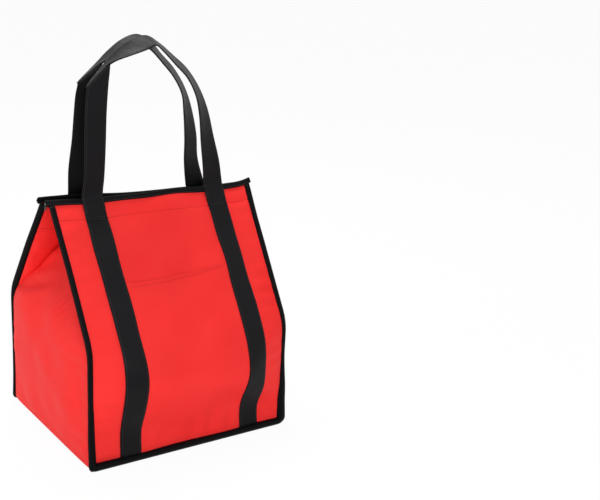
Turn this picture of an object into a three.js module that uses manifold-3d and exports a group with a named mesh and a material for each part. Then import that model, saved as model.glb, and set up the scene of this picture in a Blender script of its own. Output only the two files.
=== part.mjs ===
// An insulated shopping bag with a zipped mouth, two carrying handles and a flat front pocket.
// Millimetres, +Z up. X runs along the wide front panel, the front faces -Y, and the origin is
// the middle of the base on the ground. The lower walls stand upright. Above a soft bend line the
// front and back walls lean together to the zip, and each side gusset folds inwards between them.
import * as THREE from "three";
import { mergeVertices } from "three/addons/utils/BufferGeometryUtils.js";
import Module from "manifold-3d";

// Overall sizes, measured between the centres of the bound seams
const bagWidth = 330;
const bagDepth = 284;
const bendHeight = 180;
const topHeight = 366;
const mouthGap = 34;

// How far the stuffed walls swell past their seams, at the belly's height and at the bend
const bellyHeight = 120;
const frontBelly = 30;
const frontBendBelly = 15;
const sideBelly = 13;
const sideBendBelly = 6.5;
const crownPower = 4;
const swellFade = 1.2;

// Layers of a wall, from the outside in
const shellThickness = 1.2;
const foamThickness = 3.5;
const liningThickness = 0.6;
const boardThickness = 2;
const clearance = 0.3;

// Extra room at a bend, for each millimetre of a layer's depth
const bendSlack = 0.12;

// Tape bound over the seams, and how far the mouth's tape runs past the side seams
const bindingSize = 8;
const bindingChamfer = 1.6;
const topBindingOverhang = 8;

// Straps: sewn flat up each wall, then free as a carrying loop
const strapWidth = 34;
const strapThickness = 2.2;
const strapSpacing = 206;
const handleHeight = 608;
const handleRoundness = 2.4;
const handleTwistStart = 0.22;
const handleTwistEnd = 0.86;
const handleSteps = 22;

// Hem below the mouth, where the straps come free, and the flat front pocket
const hemDepth = 27;
const pocketHeight = 259;
const pocketThickness = 0.9;

// Gusset fold: the gusset's upper edge, and how far the leaves stay from creases and ends
const gussetTopWidth = 206;
const foldCreaseInset = 8;
const foldTopDrop = 26;
const pleatThickness = 1.5;
const pleatFoot = 40;
const pleatTopDrop = 13;
const pleatCreaseInset = 12;

// Zip: how far it lies below the mouth's edge and stops short of the side seams, then its pieces
const zipDrop = 3;
const zipEndMargin = 17;
const zipGap = 1.4;
const coilWidth = 2.3;
const coilThickness = 2.2;
const tapeThickness = 0.8;
const stopLength = 3;
const stopHeight = 3;
const sliderLength = 12;
const sliderLip = 1.5;
const sliderPlate = 1;
const sliderParking = 1;
const bladeInset = 1;
const archLength = 7;
const archWidth = 2.4;
const archBar = 1.2;
const archHeight = 4.4;
const pullLength = 28;
const pullWidth = 6.4;
const pullThickness = 1.2;
const pullPin = 1.4;
const pullPlay = 0.5;
const pullHoleRadius = 1.6;
const pullArcSteps = 8;

// Steps in the grids of curved sheets
const pocketSteps = 6;
const lowerSteps = 7;
const gussetSteps = 6;
const leafSteps = 5;

// Values that follow from the sizes above
const halfWidth = bagWidth / 2;
const halfDepth = bagDepth / 2;
const halfGap = mouthGap / 2;
const halfBinding = bindingSize / 2;
const gussetTopHalf = gussetTopWidth / 2;
const wallThickness = shellThickness + foamThickness + liningThickness + 2 * clearance;
const wallHalf = wallThickness / 2;
const leanIn = halfDepth - halfGap;
const leanUp = topHeight - bendHeight;
const slopeLength = Math.hypot(leanIn, leanUp);
const lean = Math.atan2(leanIn, leanUp);
const upSlope = new THREE.Vector3(0, Math.sin(lean), Math.cos(lean));
const outOfSlope = new THREE.Vector3(0, -Math.cos(lean), Math.sin(lean));
const seamStop = halfBinding + clearance;
const hemSlope = slopeLength - hemDepth;
const zipHeight = topHeight - zipDrop;
const coilReach = halfWidth - zipEndMargin;
const coilIn = zipGap / 2;
const coilOut = coilIn + coilWidth;
const outerHalf = halfWidth + wallHalf;
const baseRun = 2 * outerHalf;
const rightStart = bendHeight + baseRun;
const stripRun = rightStart + bendHeight;

// The gusset's upper half is a trapezium. With the mouth closed its middle line tips inwards by
// foldIn over a rise of foldUp, so that its upper edge still reaches both walls.
const foldLength = Math.sqrt(slopeLength ** 2 - (halfDepth - gussetTopHalf) ** 2);
const foldUp = (foldLength ** 2 - gussetTopHalf ** 2 + halfGap ** 2 + leanUp ** 2) / (2 * leanUp);
const foldIn = Math.sqrt(foldLength ** 2 - foldUp ** 2);
const foldTilt = Math.atan2(foldIn, foldUp);

const lerp = THREE.MathUtils.lerp;

// Evenly spaced values from one to another, both included.
function spaced(from, to, steps) {
  return Array.from({ length: steps + 1 }, (_, k) => lerp(from, to, k / steps));
}

const material = (color, roughness, metalness = 0) =>
  new THREE.MeshStandardMaterial({ color, roughness, metalness });
const redCloth = material(0xf23432, 0.85);
const blackTape = material(0x17171a, 0.8);
const greyStrap = material(0x1e1d20, 0.85);
const whiteFoam = material(0xe8e6e0, 0.9);
const silverFoil = material(0xc9ccd0, 0.35, 0.6);
const greyBoard = material(0x3a3b3e, 0.7);
const brightMetal = material(0xc8cacc, 0.3, 0.9);

const bag = new THREE.Group();
function add(name, geometry, finish, parent = bag) {
  const mesh = new THREE.Mesh(geometry, finish.clone());
  mesh.name = name;
  parent.add(mesh);
  return mesh;
}

// A closed body from points and triangles, turned so that its faces point out.
function closedBody(points, triangles) {
  let volume = 0;
  for (let i = 0; i < triangles.length; i += 3) {
    const [a, b, c] = [0, 1, 2].map((k) => points[triangles[i + k]]);
    volume += a.dot(new THREE.Vector3().crossVectors(b, c));
  }
  if (volume < 0) triangles.reverse();
  const geometry = new THREE.BufferGeometry().setFromPoints(points);
  geometry.setIndex(triangles);
  geometry.computeVertexNormals();
  return geometry;
}

// The way out of a surface at a point on it.
function normalOf(surface, u, v) {
  const step = 0.05;
  const du = surface(u + step, v).sub(surface(u - step, v));
  const dv = surface(u, v + step).sub(surface(u, v - step));
  return du.cross(dv).normalize();
}

// A sheet of cloth, foam or board: a grid of lines over a surface, between two depths below it,
// along the surface's normal or a given way out.
function sheet(surface, us, vs, outerDepth, innerDepth, wayOut) {
  const across = us.length - 1;
  const along = vs.length - 1;
  const points = [];
  for (const depth of [outerDepth, innerDepth])
    for (const v of vs)
      for (const u of us) {
        const out = wayOut ? wayOut(u, v) : normalOf(surface, u, v);
        points.push(surface(u, v).addScaledVector(out, -depth));
      }
  const columns = across + 1;
  const at = (side, i, j) => side * columns * (along + 1) + j * columns + i;
  const triangles = [];
  const quad = (a, b, c, d) => triangles.push(a, b, c, a, c, d);
  for (let j = 0; j < along; j++)
    for (let i = 0; i < across; i++) {
      quad(at(0, i, j), at(0, i + 1, j), at(0, i + 1, j + 1), at(0, i, j + 1));
      quad(at(1, i, j), at(1, i, j + 1), at(1, i + 1, j + 1), at(1, i + 1, j));
    }
  for (let i = 0; i < across; i++) {
    quad(at(0, i, 0), at(1, i, 0), at(1, i + 1, 0), at(0, i + 1, 0));
    quad(at(0, i, along), at(0, i + 1, along), at(1, i + 1, along), at(1, i, along));
  }
  for (let j = 0; j < along; j++) {
    quad(at(0, 0, j), at(0, 0, j + 1), at(1, 0, j + 1), at(1, 0, j));
    quad(at(0, across, j), at(1, across, j), at(1, across, j + 1), at(0, across, j + 1));
  }
  return closedBody(points, triangles);
}

// A strip through a row of like outlines, capped at both ends.
function loft(rings) {
  const sides = rings[0].length;
  const points = rings.flat();
  const triangles = [];
  for (let r = 0; r + 1 < rings.length; r++)
    for (let k = 0; k < sides; k++) {
      const a = r * sides + k;
      const b = r * sides + ((k + 1) % sides);
      triangles.push(a, b, b + sides, a, b + sides, a + sides);
    }
  const last = (rings.length - 1) * sides;
  for (let k = 1; k + 1 < sides; k++) {
    triangles.push(0, k + 1, k);
    triangles.push(last, last + k, last + k + 1);
  }
  return closedBody(points, triangles);
}

function box(x0, x1, y0, y1, z0, z1) {
  const geometry = new THREE.BoxGeometry(x1 - x0, y1 - y0, z1 - z0);
  return geometry.translate((x0 + x1) / 2, (y0 + y1) / 2, (z0 + z1) / 2);
}

// Shapes of the walls' outer faces

// Swelling across a wall: full in the middle and nothing at the seams.
const crown = (share) => 1 - Math.min(1, Math.abs(share)) ** crownPower;

// Swelling up a lower wall: nothing at the ground, full at the belly, part of it at the bend.
function bellyRise(z, belly, atBend) {
  if (z <= bellyHeight) return belly * Math.sin((Math.PI / 2) * (z / bellyHeight));
  const past = (z - bellyHeight) / (bendHeight - bellyHeight);
  return atBend + (belly - atBend) * Math.cos((Math.PI / 2) * past);
}

function lowerWall(x, z) {
  const swell = crown(x / halfWidth) * bellyRise(z, frontBelly, frontBendBelly);
  return new THREE.Vector3(x, -(halfDepth + wallHalf + swell), z);
}

// A point on the upper wall, a distance up the slope from the bend.
function upperWall(x, climb) {
  const share = climb / slopeLength;
  const swell = frontBendBelly * crown(x / halfWidth) * Math.max(0, 1 - share) ** swellFade;
  return new THREE.Vector3(x, -halfDepth, bendHeight)
    .addScaledVector(upSlope, climb)
    .addScaledVector(outOfSlope, wallHalf)
    .add(new THREE.Vector3(0, -swell, 0));
}

function sideSwell(y, z) {
  return crown(y / halfDepth) * bellyRise(z, sideBelly, sideBendBelly);
}

// The gusset and base are one strip: down the left side, across the base and up the right side.
function gussetStrip(y, run) {
  const onLeft = bendHeight - run;
  if (onLeft > 0) return new THREE.Vector3(-outerHalf - sideSwell(y, onLeft), y, onLeft);
  const onRight = run - rightStart;
  if (onRight > 0) return new THREE.Vector3(outerHalf + sideSwell(y, onRight), y, onRight);
  return new THREE.Vector3(-onLeft - outerHalf, y, 0);
}

// The way out of the strip, square to its sides and base, so its layers meet in square corners.
function stripOut(y, run) {
  const x = run <= bendHeight ? -1 : run >= rightStart ? 1 : 0;
  const onBase = run >= bendHeight && run <= rightStart;
  return new THREE.Vector3(x, 0, onBase ? -1 : 0);
}

// The middle leaf of the left gusset's fold, from the bend line to its upper edge.
function foldLeaf(y, climb) {
  const fade = (1 - climb / foldLength) ** 2;
  const swell = sideBendBelly * crown(y / halfDepth) * fade;
  const out = new THREE.Vector3(-Math.cos(foldTilt), 0, Math.sin(foldTilt));
  const up = new THREE.Vector3(Math.sin(foldTilt), 0, Math.cos(foldTilt));
  return new THREE.Vector3(-halfWidth, y, bendHeight)
    .addScaledVector(up, climb)
    .addScaledVector(out, wallHalf)
    .add(new THREE.Vector3(-swell, 0, 0));
}

// Layers as depths below the outer face
const layers = [];
let depth = 0;
for (const [name, thickness, finish] of [
  ["shell", shellThickness, redCloth],
  ["foam", foamThickness, whiteFoam],
  ["lining", liningThickness, silverFoil],
]) {
  layers.push({ name, finish, outer: depth, inner: depth + thickness });
  depth += thickness + clearance;
}
const [shell, foam, lining] = layers;

// How far up a leaning leaf a layer starts, so that its inner edge clears what ends at the bend.
const bendStart = (tilt, inner) =>
  Math.tan(tilt) * (inner - wallHalf) + (2 * clearance + bendSlack * Math.max(0, inner)) / Math.cos(tilt);

// Grid lines of a front wall, which its layers, straps and pocket share.
const strapX = strapSpacing / 2;
const strapColumns = [-strapWidth / 2, 0, strapWidth / 2];
const pocketReach = strapX - strapWidth / 2 - clearance;
const pocketColumns = spaced(-pocketReach, pocketReach, pocketSteps);
const wallReach = halfWidth - seamStop;
const strapOuter = strapX + strapWidth / 2;
const edgeColumns = [wallReach, (wallReach + strapOuter) / 2];
const wallColumns = [
  ...edgeColumns.map((x) => -x),
  ...strapColumns.map((x) => x - strapX),
  ...pocketColumns.slice(1, -1),
  ...strapColumns.map((x) => x + strapX),
  ...edgeColumns.toReversed(),
];
const lowerRows = spaced(bindingSize + clearance, bendHeight - clearance, lowerSteps);
const pocketTop = ((pocketHeight - bendHeight) / leanUp) * slopeLength;
const sewnStart = bendStart(lean, 0);
const sewnRows = [pocketTop / 2, pocketTop, (pocketTop + hemSlope) / 2];

// Front and back halves. The back is the front turned half round, so left and right swap names.
function buildHalf(side) {
  const half = new THREE.Group();
  if (side === "back") half.rotation.z = Math.PI;
  bag.add(half);
  const put = (name, geometry, finish) => add(`${side}_${name}`, geometry, finish, half);
  const hand = (x) => ((side === "front") === x < 0 ? "left" : "right");

  for (const layer of layers) {
    const upperRows = [bendStart(lean, layer.inner), ...sewnRows, hemSlope, slopeLength - seamStop];
    const lower = sheet(lowerWall, wallColumns, lowerRows, layer.outer, layer.inner);
    const upper = sheet(upperWall, wallColumns, upperRows, layer.outer, layer.inner);
    put(`lower_${layer.name}`, lower, layer.finish);
    put(`upper_${layer.name}`, upper, layer.finish);
  }
  for (const x of [-strapX, strapX]) {
    const columns = strapColumns.map((offset) => x + offset);
    const upperRows = [sewnStart, ...sewnRows, hemSlope - clearance];
    const outer = -(clearance + strapThickness);
    put(`strap_lower_${hand(x)}`, sheet(lowerWall, columns, lowerRows, outer, -clearance), greyStrap);
    put(`strap_upper_${hand(x)}`, sheet(upperWall, columns, upperRows, outer, -clearance), greyStrap);
  }
  if (side === "front") {
    const upperRows = [sewnStart, pocketTop / 2, pocketTop];
    const outer = -(clearance + pocketThickness);
    put("pocket_lower", sheet(lowerWall, pocketColumns, lowerRows, outer, -clearance), redCloth);
    put("pocket_upper", sheet(upperWall, pocketColumns, upperRows, outer, -clearance), redCloth);
  }
  buildBindings(put, hand);
  buildHandle(put);
  buildHalfZip(put);
  buildPleats(put, hand);
}

// A square outline with cut corners, about a point, along two directions.
function bindingRing(centre, a, b) {
  const h = halfBinding;
  const c = halfBinding - bindingChamfer;
  const corners = [[h, c], [c, h], [-c, h], [-h, c], [-h, -c], [-c, -h], [c, -h], [h, -c]];
  return corners.map(([p, q]) => centre.clone().addScaledVector(a, p).addScaledVector(b, q));
}

function buildBindings(put, hand) {
  const across = new THREE.Vector3(1, 0, 0);
  const out = new THREE.Vector3(0, -1, 0);
  const up = new THREE.Vector3(0, 0, 1);
  const seam = (x, z) => new THREE.Vector3(x, -halfDepth, z);
  const mitre = (x) => new THREE.Vector3(Math.sign(-x), 0, 1);
  const flip = across.clone().negate();
  const end = bendHeight - clearance;
  put(
    "lower_binding",
    loft([
      bindingRing(seam(-halfWidth, end), across, out),
      bindingRing(seam(-halfWidth, halfBinding), mitre(-halfWidth), out),
      bindingRing(seam(halfWidth, halfBinding), mitre(halfWidth), out),
      bindingRing(seam(halfWidth, end), flip, out),
    ]),
    blackTape,
  );
  const edge = (x, climb) => seam(x, bendHeight).addScaledVector(upSlope, climb);
  for (const x of [-halfWidth, halfWidth]) {
    const start = bindingRing(edge(x, Math.tan(lean) * halfBinding + 2 * clearance), across, outOfSlope);
    const finish = bindingRing(edge(x, slopeLength - seamStop), across, outOfSlope);
    put(`upper_binding_${hand(x)}`, loft([start, finish]), blackTape);
  }
  const reach = halfWidth + topBindingOverhang;
  const ends = [-reach, reach].map((x) => bindingRing(edge(x, slopeLength), upSlope, outOfSlope));
  put("top_binding", loft(ends), blackTape);
}

// The free part of a strap: off the hem, over the mouth's tape, then a loop that turns a quarter
// round on each side, so that it lies flat on the hand at the top.
function buildHandle(put) {
  const spread = strapSpacing / 2;
  const outwards = new THREE.Vector3(0, -1, 0);
  const onSlope = (climb, out) =>
    new THREE.Vector3(-spread, -halfDepth, bendHeight)
      .addScaledVector(upSlope, climb)
      .addScaledVector(outOfSlope, out);
  const sewn = upperWall(-pocketReach, hemSlope)
    .addScaledVector(outOfSlope, clearance + strapThickness / 2)
    .setX(-spread);
  const overTape = halfBinding + 2 * clearance + strapThickness / 2;
  const rise = onSlope(slopeLength + seamStop, overTape);
  const stations = [
    { at: sewn, face: outOfSlope },
    { at: onSlope(slopeLength - seamStop, overTape), face: outOfSlope },
    { at: rise, face: outOfSlope.clone().add(outwards).normalize() },
  ];
  const archHeightAbove = handleHeight - rise.z - strapThickness / 2;
  const power = 2 / handleRoundness;
  for (let k = 1; k <= handleSteps; k++) {
    const turn = (Math.PI / 2) * (k / handleSteps);
    const x = -spread * Math.cos(turn) ** power;
    const z = rise.z + archHeightAbove * Math.sin(turn) ** power;
    const twist = THREE.MathUtils.smoothstep(k / handleSteps, handleTwistStart, handleTwistEnd);
    stations.push({ at: new THREE.Vector3(x, rise.y, z), twist });
  }
  const mirrored = stations
    .slice(0, -1)
    .reverse()
    .map((s) => ({ ...s, at: s.at.clone().setX(-s.at.x) }));
  const path = stations.concat(mirrored);
  const rings = path.map((station, k) => {
    const before = path[Math.max(0, k - 1)].at;
    const after = path[Math.min(path.length - 1, k + 1)].at;
    const along = after.clone().sub(before).normalize();
    let face = station.face;
    if (!face) {
      const upwards = new THREE.Vector3(-along.z, 0, along.x);
      const angle = (Math.PI / 2) * station.twist;
      face = outwards.clone().multiplyScalar(Math.cos(angle)).addScaledVector(upwards, Math.sin(angle));
    }
    const wide = new THREE.Vector3().crossVectors(face, along).normalize();
    const thick = new THREE.Vector3().crossVectors(along, wide).normalize();
    const corners = [[1, 1], [1, -1], [-1, -1], [-1, 1]];
    return corners.map(([p, q]) =>
      station.at
        .clone()
        .addScaledVector(wide, (p * strapWidth) / 2)
        .addScaledVector(thick, (q * strapThickness) / 2),
    );
  });
  put("handle", loft(rings), greyStrap);
}

function buildHalfZip(put) {
  const tapeReach = halfWidth - halfBinding;
  const tapeTop = zipDrop - tapeThickness / 2;
  const tapeOut = halfGap - (halfBinding + clearance - tapeTop * Math.sin(lean)) / Math.cos(lean);
  const tapeIn = coilOut + clearance;
  const around = (size) => [zipHeight - size / 2, zipHeight + size / 2];
  put("zip_tape", box(-tapeReach, tapeReach, -tapeOut, -tapeIn, ...around(tapeThickness)), blackTape);
  put("zip_coil", box(-coilReach, coilReach, -coilOut, -coilIn, ...around(coilThickness)), blackTape);
}

// The side leaves of a gusset's fold lie against the inside of the wall, and hinge at its seam.
function buildPleats(put, hand) {
  const depthAtSeam = wallHalf + clearance + pleatThickness / 2;
  const seamX = halfWidth - seamStop;
  const seam = (climb) =>
    new THREE.Vector3(-seamX, -halfDepth, bendHeight)
      .addScaledVector(upSlope, climb)
      .addScaledVector(outOfSlope, -depthAtSeam);
  const corner = seam(0);
  const apex = new THREE.Vector3(-halfWidth + foldIn, -pleatThickness, bendHeight + foldUp);
  const leaf = (u, v) => {
    const onSeam = seam(lerp(pleatFoot, slopeLength - pleatTopDrop, v));
    const creaseShare = lerp(pleatFoot / slopeLength, 1 - foldTopDrop / foldLength, v);
    const onCrease = corner.clone().lerp(apex, creaseShare);
    const reach = 1 - pleatCreaseInset / onSeam.distanceTo(onCrease);
    return onSeam.lerp(onCrease, u * reach);
  };
  const mirrored = (u, v) => {
    const point = leaf(1 - u, v);
    return point.setX(-point.x);
  };
  const grid = spaced(0, 1, leafSteps);
  const [outer, inner] = [-pleatThickness / 2, pleatThickness / 2];
  put(`pleat_${hand(-1)}`, sheet(leaf, grid, grid, outer, inner), redCloth);
  put(`pleat_${hand(1)}`, sheet(mirrored, grid, grid, outer, inner), redCloth);
}

// Gusset strip, base and the folded leaves above it
function buildGussetAndBase() {
  const reach = halfDepth - seamStop;
  const foamStop = bendHeight - foam.inner - clearance;
  const columns = spaced(-reach, reach, gussetSteps);
  const foamRows = spaced(clearance, foamStop, gussetSteps);
  const mirrored = (rows) => rows.map((run) => stripRun - run).reverse();
  const downAndUp = (rows) => [
    ...rows, bendHeight, stripRun / 2, rightStart, ...mirrored(rows),
  ];
  const strip = (rows, layer) => sheet(gussetStrip, columns, rows, layer.outer, layer.inner, stripOut);
  add("gusset_base_shell", strip(downAndUp(foamRows), shell), redCloth);
  add("gusset_base_lining", strip(downAndUp(foamRows.slice(0, -1)), lining), silverFoil);
  add("left_gusset_foam", strip(foamRows, foam), whiteFoam);
  add("right_gusset_foam", strip(mirrored(foamRows), foam), whiteFoam);

  const foamX = outerHalf - foam.outer;
  add("base_foam", box(-foamX, foamX, -reach, reach, foam.outer, foam.inner), whiteFoam);
  const boardX = outerHalf - lining.inner - clearance;
  const boardBottom = lining.inner + clearance;
  const boardTop = boardBottom + boardThickness;
  add("base_board", box(-boardX, boardX, -reach, reach, boardBottom, boardTop), greyBoard);
}

function buildFold(side) {
  const group = new THREE.Group();
  if (side === "right") group.rotation.z = Math.PI;
  bag.add(group);
  for (const layer of [shell, foam]) {
    const start = bendStart(foldTilt, layer.inner);
    const leaf = (share, climb) => {
      const reach = halfDepth * (1 - climb / foldLength) - foldCreaseInset;
      return foldLeaf(-share * reach, climb);
    };
    const rows = spaced(start, foldLength - foldTopDrop, leafSteps);
    const body = sheet(leaf, spaced(-1, 1, gussetSteps), rows, layer.outer, layer.inner);
    add(`${side}_fold_${layer.name}`, body, layer.finish, group);
  }
}

// Zip slider, pull and stops

const wasm = await Module();
wasm.setup();

function solidOf(geometry) {
  const bare = geometry.clone();
  bare.deleteAttribute("normal");
  bare.deleteAttribute("uv");
  const merged = mergeVertices(bare, 1e-4);
  const vertProperties = new Float32Array(merged.attributes.position.array);
  const triVerts = new Uint32Array(merged.index.array);
  return new wasm.Manifold(new wasm.Mesh({ numProp: 3, vertProperties, triVerts }));
}

function joined(...geometries) {
  const [first, ...rest] = geometries.map(solidOf);
  const mesh = rest.reduce((sum, next) => sum.add(next), first).getMesh();
  const geometry = new THREE.BufferGeometry();
  geometry.setAttribute("position", new THREE.BufferAttribute(mesh.vertProperties, 3));
  geometry.setIndex(new THREE.BufferAttribute(mesh.triVerts, 1));
  geometry.computeVertexNormals();
  return geometry;
}

// Two plates above and below the coils, a blade between them, and an arch that holds the pull.
function buildSlider() {
  const x0 = -coilReach + sliderParking;
  const x1 = x0 + sliderLength;
  const middle = (x0 + x1) / 2;
  const channel = coilThickness / 2 + clearance;
  const [low, high] = [zipHeight - channel, zipHeight + channel];
  const plateTop = high + sliderPlate;
  const archTop = plateTop + archHeight;
  const archIn = archLength / 2 - archBar;
  const plateBox = (z0, z1) => box(x0, x1, -coilOut - sliderLip, coilOut + sliderLip, z0, z1);
  const archBox = (from, to, z0) =>
    box(middle + from, middle + to, -archWidth / 2, archWidth / 2, z0, archTop);
  const blade = coilIn - clearance;
  const slider = joined(
    plateBox(high, plateTop),
    plateBox(low - sliderPlate, low),
    box(x0 + bladeInset, x1 - bladeInset, -blade, blade, low - sliderPlate / 2, high + sliderPlate / 2),
    archBox(-archLength / 2, archLength / 2, archTop - archBar),
    archBox(-archLength / 2, -archIn, high + sliderPlate / 2),
    archBox(archIn, archLength / 2, high + sliderPlate / 2),
  );
  add("zip_slider", slider, brightMetal);

  const pinZ = (plateTop + archTop - archBar) / 2;
  const windowEnd = Math.hypot(archLength / 2, archTop - pinZ) + pullPlay;
  const pull = pullGeometry(windowEnd).translate(middle, 0, pinZ - pullThickness / 2);
  add("zip_pull", pull, brightMetal);
}

// The pull lies along -X from its pin, with a window for the slider's arch and a hole at the tip.
function pullGeometry(windowEnd) {
  const h = pullWidth / 2;
  const pin = pullPin / 2;
  const tip = pullLength - h;
  const outline = new THREE.Shape();
  outline.moveTo(pin, -h);
  outline.lineTo(pin, h);
  outline.lineTo(-tip, h);
  outline.absarc(-tip, 0, h, Math.PI / 2, (3 * Math.PI) / 2, false);
  outline.lineTo(pin, -h);
  const w = archWidth / 2 + pullPlay;
  const opening = new THREE.Path();
  opening.moveTo(-pin, -w);
  opening.lineTo(-windowEnd, -w);
  opening.lineTo(-windowEnd, w);
  opening.lineTo(-pin, w);
  opening.lineTo(-pin, -w);
  const hole = new THREE.Path().absarc(-tip, 0, pullHoleRadius, 0, 2 * Math.PI, true);
  outline.holes.push(opening, hole);
  const options = { depth: pullThickness, bevelEnabled: false, curveSegments: pullArcSteps };
  return new THREE.ExtrudeGeometry(outline, options);
}

function buildStops() {
  const z = [zipHeight - stopHeight / 2, zipHeight + stopHeight / 2];
  const end = coilReach + clearance;
  add("front_top_stop", box(-end - stopLength, -end, -coilOut, -coilIn, ...z), brightMetal);
  add("back_top_stop", box(-end - stopLength, -end, coilIn, coilOut, ...z), brightMetal);
  add("zip_bottom_stop", box(end, end + stopLength, coilIn, coilOut, ...z), brightMetal);
}

buildHalf("front");
buildHalf("back");
buildGussetAndBase();
buildFold("left");
buildFold("right");
buildSlider();
buildStops();

export default bag;
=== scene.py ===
"""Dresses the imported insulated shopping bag: padded cloth walls, taped seams, sewn straps with their
carrying loops, a zip, foil linings and the studio that it stands in. Metres, +Z up, front towards -Y.
"""

import logging
import math
from collections.abc import Callable, Sequence
from dataclasses import dataclass
from enum import Enum
from typing import Any, ClassVar

import bmesh
import bpy
import numpy as np
from mathutils import Euler, Matrix, Vector

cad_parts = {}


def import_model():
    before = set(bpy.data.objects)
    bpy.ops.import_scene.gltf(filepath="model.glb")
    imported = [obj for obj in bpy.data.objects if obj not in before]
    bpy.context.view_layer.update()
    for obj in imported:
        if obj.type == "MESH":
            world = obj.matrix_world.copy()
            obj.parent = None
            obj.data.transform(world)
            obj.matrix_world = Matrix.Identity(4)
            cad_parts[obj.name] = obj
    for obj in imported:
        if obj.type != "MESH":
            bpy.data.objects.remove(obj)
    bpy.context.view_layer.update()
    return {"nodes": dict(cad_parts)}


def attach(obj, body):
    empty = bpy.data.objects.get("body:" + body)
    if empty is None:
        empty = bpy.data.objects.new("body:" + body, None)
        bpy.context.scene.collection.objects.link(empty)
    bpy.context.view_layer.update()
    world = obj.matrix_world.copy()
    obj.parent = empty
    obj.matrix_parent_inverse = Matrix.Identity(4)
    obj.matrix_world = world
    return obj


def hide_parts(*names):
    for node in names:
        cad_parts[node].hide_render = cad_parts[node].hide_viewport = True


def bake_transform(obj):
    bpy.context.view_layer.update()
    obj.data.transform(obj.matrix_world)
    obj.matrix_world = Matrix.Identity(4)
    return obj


log = logging.getLogger("bag")

Array = np.ndarray
CLOTH_MAP = "Cloth"
SEAM_STEP = 0.003
HALF_TURN = np.array([-1.0, -1.0, 1.0])

Pair = tuple[float, float]
Triple = tuple[float, float, float]
Spot = tuple[float, float, float, float]
Settings = dict[str, Any] | None
Sockets = dict[Any, Any] | None
Surface = Callable[[Array, Array], Array]


class Slot(Enum):
    """The material slots that each piece is labelled with."""

    OUTER_CLOTH = "outer_cloth"
    BINDING_TAPE = "binding_tape"
    STRAP_WEBBING = "strap_webbing"
    FOIL_LINING = "foil_lining"
    ZIP_TAPE = "zip_tape"
    ZIP_COIL = "zip_coil"
    ZIP_METAL = "zip_metal"


class Held(Enum):
    """How a sheet is held."""

    STRETCHED = "stretched"
    FOLDED = "folded"
    LAID = "laid"


class Half(Enum):
    """The front or the back half. The back is drawn as a front, then turned half round."""

    FRONT = "front"
    BACK = "back"

    def world(self, points: Array) -> Array:
        """Turns points that were drawn for the front to this half's place."""
        return points if self is Half.FRONT else points * HALF_TURN

    def hand(self, x: float) -> str:
        """Names the side of the bag that a drawn x lies on."""
        return "left" if (x < 0) == (self is Half.FRONT) else "right"

    @property
    def upper(self) -> str:
        """The body that this half's upper wall rides on."""
        return f"{self.value}_wall"


class Side(Enum):
    """The left or the right gusset. The right is drawn as a left, then turned half round."""

    LEFT = "left"
    RIGHT = "right"

    def world(self, points: Array) -> Array:
        """Turns points that were drawn for the left to this side's place."""
        return points if self is Side.LEFT else points * HALF_TURN

    @property
    def upper(self) -> str:
        """The body that this gusset's folded leaf rides on."""
        return f"{self.value}_fold"


# Small geometry helpers


def smooth(share: Array) -> Array:
    """Eases from 0 to 1 as share goes from 0 to 1, and holds outside."""
    held = np.clip(share, 0.0, 1.0)
    return held * held * (3.0 - 2.0 * held)


def ramp(values: Array, start: float, end: float) -> Array:
    """Eases from 0 to 1 as values go from start to end, and holds outside."""
    return smooth((values - start) / (end - start))


def unit(vectors: Array) -> Array:
    """Scales vectors along the last axis to length 1."""
    return vectors / np.maximum(np.linalg.norm(vectors, axis=-1, keepdims=True), 1e-12)


def paired(*values: Array | float) -> tuple[Array, ...]:
    """Values as arrays of one shape."""
    return tuple(np.broadcast_arrays(*(np.asarray(value, float) for value in values)))


def grid(*values: Array | float) -> Array:
    """Values brought to one shape and set side by side, as the coordinates of points."""
    return np.stack(paired(*values), -1)


def hump(values: Array, middle: float, reach: float) -> Array:
    """A bell of height 1 about a middle."""
    return np.exp(-(((values - middle) / reach) ** 2))


def patch(across: Array, s: Array, spot: Spot) -> Array:
    """A hill of height 1 about a spot: its middle and reach across, and then its middle and reach along."""
    return hump(across, *spot[:2]) * hump(s, *spot[2:])


def spaced(
    start: float, end: float, step: float, fine: Sequence[float] = (), fine_step: float = 0.0
) -> Array:
    """Values from start to end, about a step apart, with close ones about each fine place.

    Args:
        start: The first value.
        end: The last value.
        step: The usual distance between values.
        fine: Places that get close values, for a groove or a fold.
        fine_step: The distance between those.

    Returns:
        The values in rising order.
    """
    values = np.linspace(start, end, max(2, math.ceil((end - start) / step) + 1))
    for place in fine:
        reach = 4 * fine_step
        values = values[np.abs(values - place) > reach + fine_step / 2]
        near = np.arange(-4, 5) * fine_step + place
        values = np.sort(np.concatenate([values, near[(near > start) & (near < end)]]))
    return values


def through(knots: Array, step: float) -> Array:
    """A smooth curve through knots, whose first three columns are a point.

    Args:
        knots: One row per knot: x, y, z and any further values.
        step: About how far apart the curve's points are.

    Returns:
        Rows like the knots', along the curve.
    """
    ends = [2 * knots[0] - knots[1], 2 * knots[-1] - knots[-2]]
    held = np.concatenate([ends[:1], knots, ends[1:]])
    gaps = np.maximum(np.linalg.norm(np.diff(held[:, :3], axis=0), axis=1), 1e-6) ** 0.5
    at = np.concatenate([[0.0], np.cumsum(gaps)])
    rows = []
    for k in range(1, len(held) - 2):
        count = max(1, round(float(np.linalg.norm(held[k + 1, :3] - held[k, :3])) / step))
        times, level = at[k - 1 : k + 3], list(held[k - 1 : k + 3])
        t = np.linspace(at[k], at[k + 1], count, endpoint=False)[:, None]
        for span in (1, 2, 3):
            level = [mixed(level, times, i, span, t) for i in range(4 - span)]
        rows.append(level[0])
    return np.concatenate([*rows, knots[-1:]])


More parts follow.
